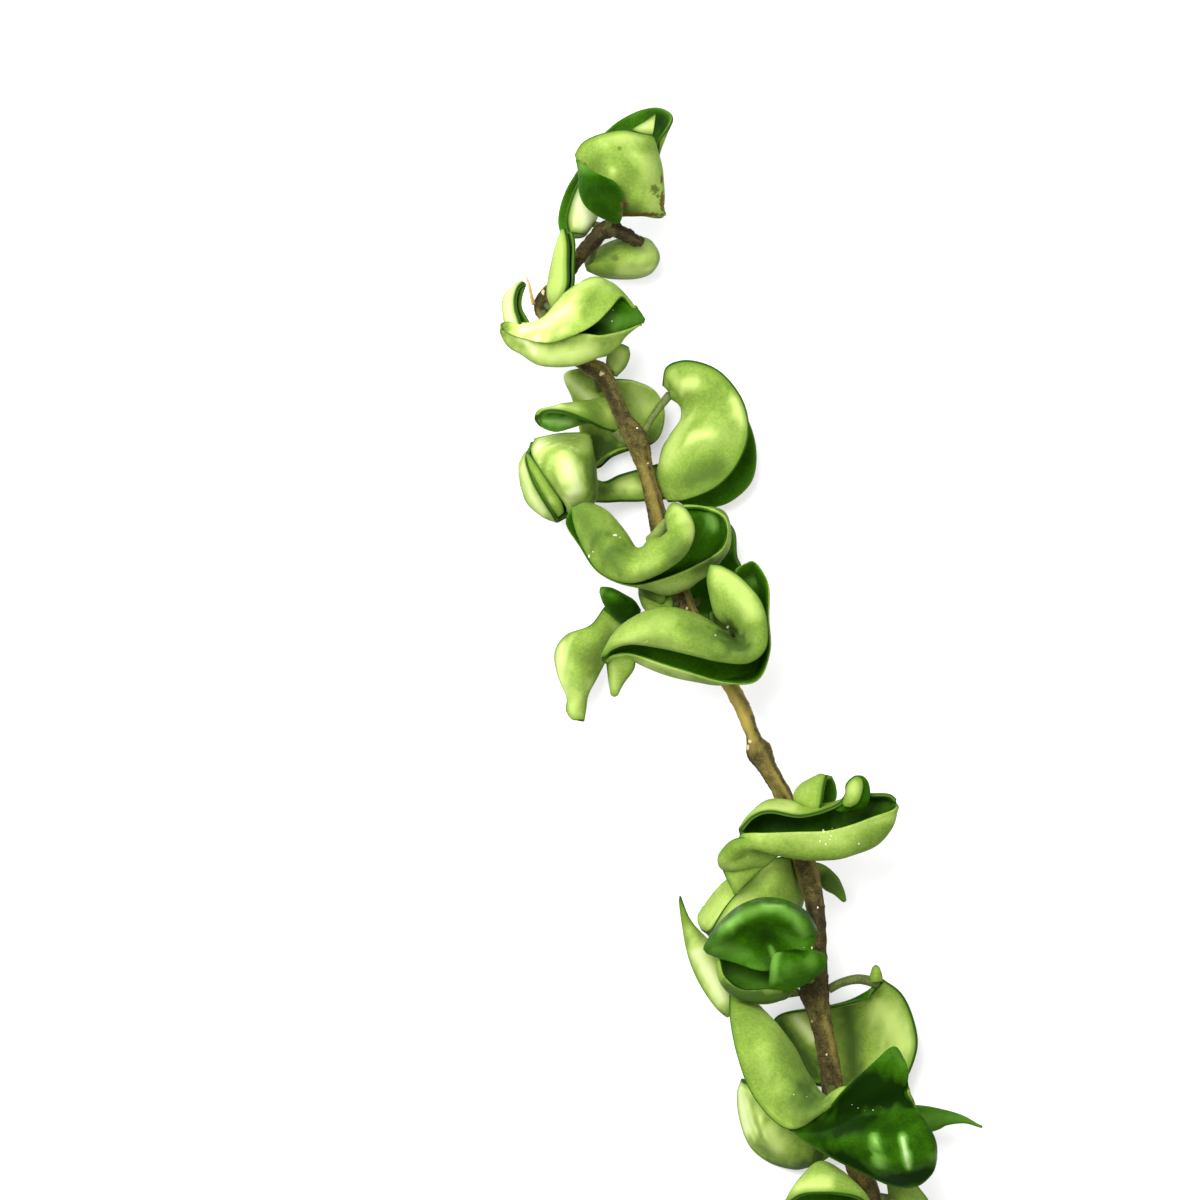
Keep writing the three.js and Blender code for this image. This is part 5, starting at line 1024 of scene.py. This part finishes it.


# Eighth node: in front a long boat with a lobe curled down at its left, an upright fold and a small curl on
# its back edge, and behind the stem a fold with its pointed end out to the right. Both are the thick flesh of
# old leaves, each on a short stalk.
# Its tones paint shade at the left where the lobe curls down, and a highlight along the top edge.
long_boat = blade("fold", [
    (179.3, 160.7, 30.4,  179.2, 161, 29.4,  179, 160.7, 27.6,  178.9, 160.1, 28.6,  179.1, 160, 30.2),
    (178.4, 161.8, 32.4,  178, 165, 30,  176.4, 163.6, 24.6,  176.4, 160, 24.6,  177.6, 158.9, 30.6),
    (174.4, 163.2, 34,  174.8, 168.6, 31,  173, 166, 24,  172.4, 160, 23,  174, 158.8, 31),
    (170, 164.8, 35,  169.6, 170.6, 32,  169, 167.6, 25,  169.2, 161, 25,  171.4, 158.6, 33),
    (165, 166, 35,  164.4, 171.4, 32,  164.4, 168.4, 26,  165, 161.6, 26,  166, 161.6, 33),
    (159, 166.2, 35,  158.6, 171, 31.6,  159, 168, 26,  159.4, 161, 26,  160, 163.2, 34),
    (153, 166.4, 34.6,  152.6, 169.6, 32.6,  153, 168, 26,  153.8, 160.6, 26,  154, 162.3, 34),
    (150.2, 166.4, 33.6,  149.8, 168.8, 32,  150.2, 167.6, 28,  150.3, 163.2, 28,  150.6, 163.3, 33),
    (148, 166.6, 32.4,  147.9, 167, 31.8,  148.2, 167, 30.4,  148, 166, 30.8,  148.2, 165.9, 32),
], margins="fse", tones=[
    (146.4, 168.6, 1.6, -0.7), ((152, 166, 178), (167, 166.6, 163.2), 1.3, 0.4),
    ((156, 164), (170.8, 171.4), 1.4, -0.3), ((162, 170), (168.4, 168), 1.4, 0.3),
    ((171, 176), (169, 166), 2.2, -0.4), ((150.4, 158), (162.4, 162), 1.8, 0.8),
    ((149, 160), (165, 165), 2.4, -0.7, "dark"), ((169, 177), (162.6, 160.6), 2, 0.5, "dark"),
    (161, 166, 1.4, 0.3, "dark"),
])
curled_lobe = blade("pale", [
    (158, 167, 33.2,  158, 168.6, 32.2,  158, 169.8, 30),
    (151.6, 166.9, 33.2,  151.8, 168.8, 32.6,  152.4, 169.6, 30),
    (146.8, 167.6, 32,  148, 169.4, 32.6,  151.6, 169.6, 29.6),
    (144.3, 169.8, 30,  146.2, 170.8, 31.6,  151.4, 169.6, 29),
    (143.5, 171.8, 28.6,  145.8, 172, 30.4,  152.2, 169.6, 28.4),
    (144.4, 173.7, 27.4,  147.4, 173, 29.2,  153.6, 169.6, 27.8),
    (148, 174, 26.6,  150.6, 172.8, 27.8,  155.6, 169.6, 27.2),
    (152.4, 173.4, 26,  154, 172.2, 26.8,  157.6, 169.4, 26.8),
], tones=[
    ((145.6, 147.6), (169, 168.4), 1.6, -0.3), (145.6, 172.4, 1.6, 0.3),
    ((151, 155), (171.2, 172.4), 1.6, -0.3), (149.6, 169.8, 1.2, 0.3), (150, 174, 1.8, -0.3),
])
lobe_end = blade("pale", [
    (144, 172.8, 27.4,  148, 173, 28,  153.4, 172.6, 26.4),
    (145.2, 175.6, 26.2,  147.6, 175.6, 26.8,  151, 175, 26),
    (146.5, 178, 25.4,  147.2, 178.1, 25.6,  148.2, 177.4, 25.4),
    (147, 178.8, 25.2,  147.2, 178.8, 25.2,  147.5, 178.6, 25.2),
], tones=[(147.5, 176, 2, 0.15)])
upright_fold = blade("fold", [
    (163.8, 163, 31,  159.6, 160.6, 27,  165.2, 162.4, 26),
    (164.4, 160, 32,  159.2, 159, 26,  167.2, 159.8, 25),
    (164.8, 157.2, 32,  160.6, 157, 26,  167.2, 157.2, 25),
    (165.4, 155, 30,  164.4, 155.2, 27,  166.4, 155.2, 26),
], bulge=(0.1, 0.1), tones=[(161.5, 158.5, 2, 0.1)])
edge_curl = blade("dark", [
    (166.6, 161.6, 31,  167.6, 162, 31.4,  169, 162.2, 31.4),
    (168.8, 158.8, 31.8,  170.6, 160.2, 33.4,  172.8, 161.4, 31.8),
    (169, 156.8, 32.2,  171.4, 157.8, 34,  173.8, 159, 32.4),
    (170, 155.6, 32.6,  172, 156, 33.8,  173.6, 157, 32.8),
    (171, 155.3, 32.8,  171.8, 155.3, 33,  172.6, 155.7, 32.8),
], margins="se", tones=[(171.4, 159.6, 2.4, -0.1)])
curl_top = blade("pale", [
    (168.4, 160.8, 33.2,  168.9, 161.1, 33.6,  169.6, 161.2, 33.4),
    (168.9, 158.7, 33.4,  170, 159.6, 34.8,  171.5, 160.3, 34.2),
    (169.3, 156.9, 33.8,  170.6, 157.6, 35.4,  172.3, 158.3, 34.6),
    (170.3, 155.9, 34,  171.2, 156.3, 35,  172.4, 156.9, 34.6),
    (171.2, 155.6, 34,  171.5, 155.7, 34.2,  171.9, 155.9, 34.2),
], tones=[(170.6, 157.8, 1.8, 0.5)])
grow_leaf("leaf_n8_front", [
    (160.8, 171, 19.6, 0.9), (162, 169.8, 22, 0.9), (163.8, 168.6, 26, 1),
], long_boat, curled_lobe, lobe_end, upright_fold, edge_curl, curl_top, flecks=[
    (164.6, 166, 0.18, "white", 1, 0.7), (166, 167, 0.16, "white"), (163.8, 168, 0.13, "white", 1, 0.6),
    (171.6, 168.6, 0.12, "white", 0.6, 1), (166.4, 165.6, 0.11, "white"),
    (165, 168.6, 0.11, "white", 1, 0.6), (165.4, 166.4, 0.09, "white"), (164, 167, 0.09, "white"),
    (165.8, 167.7, 0.08, "white", 0.5, 1), (163.4, 166.6, 0.08, "white"), (167, 167.6, 0.08, "white"),
    (149.6, 171.3, 0.08, "white"),
])

back_fold = blade("fold", [
    (153.6, 172.4, 19,  156.2, 171.4, 20,  158.4, 172.2, 12,  153.4, 173, 10,  154.2, 172.8, 17),
    (150.2, 176, 20.4,  155.6, 176.4, 21,  159.4, 177, 12,  148.4, 175.4, 10,  151, 176.4, 17.6),
    (147.2, 178.8, 20.4,  153.6, 180, 21,  160, 181, 11,  145.2, 177.4, 10,  148.2, 179.4, 17.4),
    (144.6, 182, 19.6,  150, 183.6, 20,  156, 186, 10,  142.4, 180.6, 9,  145.6, 182.6, 16.6),
    (142.6, 185.4, 17.4,  145, 186, 17,  148, 188, 10,  140.2, 183.8, 8,  143, 185.8, 14.8),
    (141.6, 186.8, 14,  141.8, 187, 14,  142.2, 187.4, 12,  141, 186.4, 10,  141.6, 186.8, 12.4),
], tones=[
    ((141.8, 145), (184, 180.6), 2.4, 0.5), ((145, 150), (185, 181), 2, 0.8),
    ((151.6, 154), (175, 173.4), 1.6, 0.4), ((157.8, 158.6), (174.6, 178), 1.8, -0.2),
    (158.4, 182, 2.4, 0.4),
])
pointed_end = blade("pale", [
    (158, 177, 11.5,  158, 175, 11,  158, 172.6, 11.5),
    (163, 176, 11,  163.6, 174.2, 11.5,  164, 172.8, 11),
    (165, 178, 11,  166, 177, 12,  167.4, 175.2, 11),
    (167, 179, 11,  167.8, 178.4, 11.8,  168.6, 177.4, 11),
    (169, 180.6, 11,  169.2, 180.6, 11,  169.5, 180.2, 11),
], tones=[((165.6, 168.4), (175.6, 179.4), 2.2, -1.1)])
grow_leaf("leaf_n8_back", [
    (160.4, 173, 14.6, 0.9), (159.4, 173.8, 12.6, 0.9), (158, 174.4, 11.6, 1),
], back_fold, pointed_end)


# Ninth node: a dark hood over a hollow with a side lobe and the bowl below, a pale leaf with a long pointed
# tip, and a dished leaf behind the stem. All are thick flesh. The hood grew with its glossy side out, and the
# dished leaf on a long arched stalk.
# Its tones paint a highlight along the rim and shade in the middle of the hood; the side lobe gets a painted
# highlight at its left edge.
hood = blade("dark", [
    (140.8, 189.4, 32,  140.9, 189.6, 32.2,  141.1, 189.8, 32.3,  141.2, 190, 32.2,  141.4, 190.2, 32),
    (143, 185.6, 33,  143.6, 186.9, 36.4,  144, 188.6, 35.4,  144, 190.2, 34.2,  143.9, 191.4, 33),
    (147, 181.6, 33,  147.5, 183.7, 38.6,  147.8, 187, 35,  147.7, 190.2, 33,  147.5, 192.6, 33.4),
    (152, 179.5, 33.2,  152.2, 182, 39.6,  152.5, 186.2, 35.4,  152.6, 190.6, 33,  152.4, 194, 33.6),
    (157, 180, 33.2,  157, 182.6, 39.2,  157, 186.4, 35.6,  156.8, 190, 34,  156.6, 193.2, 34.4),
    (161, 182.2, 33,  160.8, 184.2, 37.8,  160.4, 186.8, 36,  160.2, 189.2, 35.4,  160, 191, 34.8),
    (163, 185.4, 32.5,  162.9, 186.4, 34.6,  162.8, 187.4, 34.8,  162.7, 188.4, 34.6,  162.6, 189.4, 33.5),
], margins="", tones=[
    ((144.6, 148, 151.4, 155, 158.4, 160.8), (185.6, 182.9, 181.8, 181.4, 183, 186), 0.9, 0.7),
    ((146, 148), (184.8, 183.6), 0.8, 0.5), ((152.6, 156.6), (181.2, 181.4), 0.6, 0.6),
    ((143.6, 149), (189, 190.4), 2, 0.35), (153, 186.6, 3.2, -0.8), ((156.6, 161), (186, 189.6), 1.6, 0.15),
    ((150, 154), (193.4, 195.4), 1.6, 0.2), ((154, 155), (188.8, 191.4), 0.7, 1),
])
side_lobe = blade("dark", [
    (154.4, 190.4, 35.2,  153.8, 193.4, 35.5,  153.6, 197.2, 32.8),
    (157.2, 189.8, 35.6,  157.6, 193.6, 36.6,  157.8, 197.8, 32.4),
    (161, 189.4, 35,  161.8, 192.8, 35,  161.8, 196, 31.8),
    (164.6, 190.4, 32.5,  165, 192, 32.6,  164.4, 194, 31.4),
], margins="", tones=[
    ((155.2, 154.6), (190.6, 195.4), 1.1, 0.8), (157.4, 193.6, 1.8, 0.2),
    ((157.4, 160), (189.8, 190.2), 0.9, -0.9), (161.6, 192, 1.6, 0.4),
])
bowl = blade("dark", [
    (143.8, 191.6, 32,  143.6, 193, 30,  144, 189, 27,  143.4, 185.8, 32.6),
    (144.8, 195, 32,  144.7, 196.4, 29.4,  146.4, 190, 25,  146.6, 182.2, 32.8),
    (148, 197.5, 32.5,  148, 198.9, 29.4,  149, 191, 24.4,  149.6, 180.6, 32.8),
    (152.6, 197.6, 32.5,  152.5, 199.9, 29.4,  153, 191, 24.4,  153.4, 179.9, 32.8),
    (156.4, 197.2, 31.4,  156.3, 199.2, 29,  156.6, 190.6, 25,  157, 180.4, 32.8),
    (158.4, 196.6, 30.4,  158, 197.8, 28.6,  159, 190, 27,  160.4, 182.2, 32.8),
], margins="", tones=[
    ((145, 152), (194, 197), 2.6, 0.25, "dark"),
    ((146, 152, 157.6), (198, 199.4, 198.6), 2.6, -1.5, "pale"),
    ((153, 156), (198.2, 197.8), 0.5, 1.2, "pale"),
])
# The two white flecks of this leaf are painted glints.
grow_leaf("leaf_n9_dome", [
    (162.2, 196.2, 19.8, 0.9), (160.6, 193.6, 23.5, 0.9), (158.2, 191.2, 26.4, 1),
], hood, side_lobe, bowl, slot="leaf_dark", flecks=[
    (162.2, 189.4, 0.13, "white", 1, 0.35), (160.6, 189.2, 0.07, "white"),
])

long_tip = blade("pale", [
    (135.8, 179, 27,  136, 179.2, 27,  136.2, 179.2, 27),
    (136.4, 184, 25,  137.2, 184.4, 25.5,  138.2, 184, 25),
    (137, 188.4, 23,  139.4, 188.6, 25,  142, 188.4, 22),
    (138.2, 193, 21,  141.6, 192.8, 23,  146, 192, 19),
    (140.4, 197.6, 19,  143.6, 196.8, 21.5,  148, 196, 17),
    (143.2, 201.6, 18,  145.6, 200.4, 20,  149, 199.4, 16.5),
    (145.4, 203.6, 17,  147.4, 202.8, 18,  149.6, 202.4, 16),
], tones=[
    ((139.6, 141.6, 144.6), (190.4, 194, 199.6), 2.3, 1.5), (137.6, 186, 2, 0.3), (146.6, 201.4, 1.6, -0.6),
])
grow_leaf("leaf_n9_left", [
    (160, 198.6, 17, 0.8), (154, 199.4, 16.6, 0.8), (148, 199.6, 17, 0.9),
], long_tip, flecks=[(144.4, 203.8, 0.7, "black", 1, 0.7)])

# Its tones paint the stem's shadow as a dark strip across it, deep shade under the long fold at its left, and
# a lit patch beside that shade.
dish = blade("pale", [
    (174, 200, 13,  175.4, 197.4, 14,  176.8, 196, 13.5),
    (166, 201.8, 9,  173.6, 200.6, 10,  180.4, 198.8, 12.5),
    (156, 203.4, 8,  170, 205, 5,  182.6, 203, 11.5),
    (154.5, 208, 7.5,  169.5, 210, 3,  183.8, 208.6, 11),
    (156, 213, 7.5,  169.5, 214.6, 3,  182.8, 213.4, 10.5),
    (160, 217, 8,  169.8, 218.4, 5,  180.4, 218.4, 10),
], swells=[(175, 203, 3, 0.4)], tones=[
    ((176.4, 178.6, 181), (202, 203.6, 209), 3.2, 0.9), (174.8, 207.4, 2.4, 0.25), (177, 212, 2.4, 0.3),
    ((169.4, 171, 171.4), (201.4, 208, 216), 2.7, -1), ((173.2, 176), (199.4, 198.4), 1.4, -0.4),
    ((154.8, 158, 162), (205.6, 210.6, 216), 3, -1.5), ((159.4, 162.6), (204, 208), 1.7, 1.7),
])
dish_ear = blade("pale", [
    (173.8, 197, 14.2,  175.2, 196.8, 15.4,  176.8, 196.6, 14.4),
    (174.3, 195, 15,  175.3, 194.9, 15.8,  176.4, 194.8, 15),
    (174.9, 193.3, 15.2,  175.3, 193.2, 15.4,  175.7, 193.3, 15.2),
])
grow_leaf("leaf_n9_right", [
    (165.8, 198, 17.6, 0.9), (168.6, 196.6, 17.4, 0.9), (172, 196, 16, 1), (175.6, 196.8, 14, 1.1),
], dish, dish_ear)


# Tenth node: in front a long pale fold and the dark bulging half beside it, and behind the stem a leaf with a
# pale lobe at the left and a dark pointed end at the right. Both are thick flesh that grew up and bent over.
# Its tones paint broad shade on the right part of its face, where the dark bulging half rises over it.
long_fold = blade("fold", [
    (145.8, 198.8, 24.6,  148.4, 199.4, 25,  151.6, 201.6, 24.4,  149, 202.2, 22.2,  146, 200.2, 22.8),
    (146, 204.2, 31,  150.4, 204.4, 33.6,  154.6, 204.6, 29.6,  151, 205.4, 25.5,  147, 205, 27.6),
    (147.4, 211, 34,  153, 210, 37,  158.4, 209.6, 31.5,  154, 211, 26.5,  148.6, 211.6, 29),
    (150, 218, 34.5,  156, 216, 37.2,  161.6, 215.6, 31.5,  157, 217.6, 26.5,  151.6, 218.6, 30),
    (154.4, 223.6, 35.5,  159.2, 220.6, 37.5,  164, 218.6, 32,  160, 222.4, 27,  155.6, 224, 31),
    (158.4, 225.4, 36.5,  162.4, 222, 38,  165.6, 219.6, 32.5,  164, 225, 28,  160, 226.6, 32),
    (163, 222.6, 37,  165, 220.8, 37.4,  166.6, 218.6, 33,  168, 223, 30,  166, 226, 33),
    (166.4, 219.8, 36.4,  167.6, 218.8, 36,  168.6, 217.6, 33.6,  169.4, 220, 31.5,  169, 222, 32.6),
    (169.6, 217.6, 35,  169.8, 217.6, 34.8,  170, 217.6, 34,  170.4, 218.2, 32.8,  170.4, 218.8, 32.8),
], margins="nse", tones=[
    ((148.6, 152), (202, 211), 2.2, -0.2), ((152, 155), (210, 217), 2.4, 0.3),
    ((156, 160.6), (208.4, 217.4), 2.4, -0.5), (161.4, 220.6, 5.6, -0.9), (158, 225.4, 1.2, 0.4),
    ((154, 157.4), (222, 224.6), 1.2, 0.3), (167.8, 218.8, 1.6, 0.3),
])
# Its tones paint the two upright glints of the window on the dome, and shade over the rest of it and over the
# flap above the crease.
bulging_half = blade("dark", [
    (158.2, 225.6, 34.5,  158.4, 225.8, 34.5,  158.6, 226, 34.4,  158.8, 226.2, 34.4,  159, 226.4, 34.4),
    (164, 222.4, 37,  164.3, 223.8, 35.4,  164.7, 225.6, 34.7,  165.2, 228, 34.9,  165.4, 230.8, 33),
    (169.2, 216.8, 37.8,  170.1, 219.6, 35.6,  171, 222.8, 34.3,  172, 228.8, 36.2,  172.6, 234.4, 31.8),
    (173.6, 212.8, 38.2,  175, 217.2, 36.4,  176.2, 221.8, 34.2,  177.6, 229.8, 38.2,  178.4, 236.9, 31.4),
    (178.3, 208.8, 38.2,  179.8, 214.6, 37,  180.4, 220.8, 34.4,  182.2, 229, 38.7,  183, 237, 31.6),
    (180.6, 211.4, 37.6,  180.9, 216.8, 36.6,  181.9, 220.5, 33.8,  185.3, 228, 38.4,  186, 234.6, 33.6),
    (181.5, 214, 37,  181.1, 217.7, 36.4,  182.7, 220.9, 34.2,  186.3, 227, 36.8,  187, 231.4, 34.4),
], margins="sf", swells=[
    (176.4, 227.4, 2, 0.5), (176.8, 231, 2, 0.5), (182.4, 227.4, 1.7, 0.6), (182.8, 231.4, 1.7, 0.6),
    (179.4, 229.4, 1.6, -0.5),
], tones=[
    ((169, 173), (220, 215.6), 3.4, -1.3), ((176, 181), (217.4, 218.2), 3.2, -1.3),
    ((174, 178.4, 180.8), (213.4, 209.8, 212.8), 1.1, 0.2), ((163, 171), (225.4, 223.6), 3, -0.9),
    (174.6, 225.4, 6.5, -0.7), ((174.8, 175.8), (227.6, 231.6), 2.1, 1.25),
    ((174.4, 175.2), (226.8, 228), 0.7, 0.7), ((173.6, 177.4), (229.9, 229.2), 0.45, -0.7),
    ((180.2, 181.4), (227.2, 232.6), 0.95, 1.9), ((179.4, 181.6), (229.2, 228.6), 0.3, -0.5),
    ((168, 176, 185), (231, 236.4, 234), 2.6, -1.3), ((184.6, 186.6), (223, 228), 1.6, -0.5),
    (186.2, 231, 1.8, 0.5),
])
# The white flecks of this leaf are painted glints along its crease.
grow_leaf("leaf_n10_front", [
    (166.4, 218, 19.6, 1), (166.4, 219, 25, 1), (166, 219.6, 31.6, 1.1),
], long_fold, bulging_half, flecks=[
    (164, 217.4, 0.16, "white", 0.35, 1), (161.5, 228.8, 0.16, "white", 0.5, 1),
    (158.6, 218.4, 0.1, "white"), (170.2, 220.5, 0.07, "white"), (171.4, 221.2, 0.07, "white", 0.5, 1),
    (172.7, 221.7, 0.06, "white"), (174.4, 221.6, 0.07, "white", 0.5, 1), (175.8, 221, 0.06, "white"),
    (163, 217.9, 0.07, "white"), (161.2, 218.9, 0.07, "white"),
])

pale_lobe = blade("pale", [
    (148.4, 216, 13,  149.6, 216.6, 14,  151.4, 217.4, 13),
    (147.6, 219.4, 8.5,  151, 219, 14,  155, 219, 12),
    (148.2, 224.6, 5,  153, 223, 13.5,  158, 221.6, 10.5),
    (150.2, 229.8, 3.2,  155.6, 227, 13,  161, 224.6, 10),
    (154, 233, 3.2,  159, 230, 12.4,  164, 227.4, 9),
    (159, 234.4, 5,  162.6, 232, 11.6,  167, 229.6, 9),
    (162, 233.8, 8,  164.6, 232.4, 10.6,  168, 231, 9),
], tones=[
    ((148, 150), (217, 226), 2.6, 1.5), ((154.4, 156), (226, 229.4), 1.8, 1),
    ((152.6, 154), (229.4, 231), 1, -0.3), ((155, 158.6, 162), (234.4, 235.4, 233.6), 2.6, -1.3),
    (163.8, 231, 2, -1.2),
])
dark_end = blade("dark", [
    (160, 222, 9.6,  160, 226, 9,  160, 230, 10.4),
    (166, 222, 9,  166.6, 226, 8,  167, 230, 9),
    (174, 221, 9,  174.6, 225, 8,  175, 229.4, 9),
    (184, 221.4, 11,  185, 224, 11.5,  186.6, 226.8, 11),
    (189, 222.2, 13,  189.4, 223.8, 13.5,  189.8, 225.4, 13),
    (193, 223.4, 15,  193.2, 224.2, 15.2,  193.4, 225, 15),
    (196.4, 225.4, 17,  196.5, 225.6, 17,  196.6, 225.8, 17),
], tones=[((184, 194), (224.2, 224.8), 2, 0.4), (180, 225, 3, -0.4)])
grow_leaf("leaf_n10_back", [
    (166.6, 218.4, 14.8, 0.9), (166.6, 220.4, 12, 0.9), (167, 223, 8.8, 1),
], pale_lobe, dark_end)


# Eleventh node, at the cut: a fold at the left and an open blade at the right. Both are thick old flesh, grew
# on short stalks, and reach beyond the lower edge of the square.
cut_fold = blade("fold", [
    (157, 241.4, 26,  157.6, 240.4, 24.5,  157.4, 242.2, 22),
    (160, 239, 30,  160.6, 235.6, 26,  160, 243.4, 20),
    (164, 238.4, 32,  164, 232.8, 26.5,  164.4, 245, 19),
    (168, 238.6, 32,  168, 234.6, 26,  169, 246, 19.5),
    (171.4, 239.4, 31,  171.2, 237.6, 25.5,  173, 245.6, 21),
    (174, 241.6, 28,  173.6, 241, 25,  175, 244.4, 23),
], bulge=(0.12, 0.2), tones=[((160, 165), (237.4, 236.6), 2, 0.8), (168, 238, 2, -0.2)])
grow_leaf("leaf_n11_left", [
    (173.4, 239.6, 18.8, 0.9), (172.6, 239.4, 22, 0.9), (171.8, 238.8, 25.4, 1),
], cut_fold)

cut_blade = blade("pale", [
    (177.4, 236.6, 19,  180, 236, 21,  183.4, 237, 19),
    (178, 240, 16,  181.4, 240, 20,  185.6, 240, 15),
    (178.6, 243.6, 14,  182.4, 244, 18,  187, 243.4, 12),
    (180.4, 247, 13,  183.4, 247.4, 16,  186.8, 246.6, 12),
    (182.4, 249.4, 13,  183.6, 249.6, 14,  185, 249.2, 13),
], tones=[(180, 238, 3, -0.4)])
grow_leaf("leaf_n11_right", [
    (176.2, 239.6, 16.4, 0.8), (177.4, 239.8, 16.6, 0.8), (179, 240, 18, 0.9),
], cut_blade)
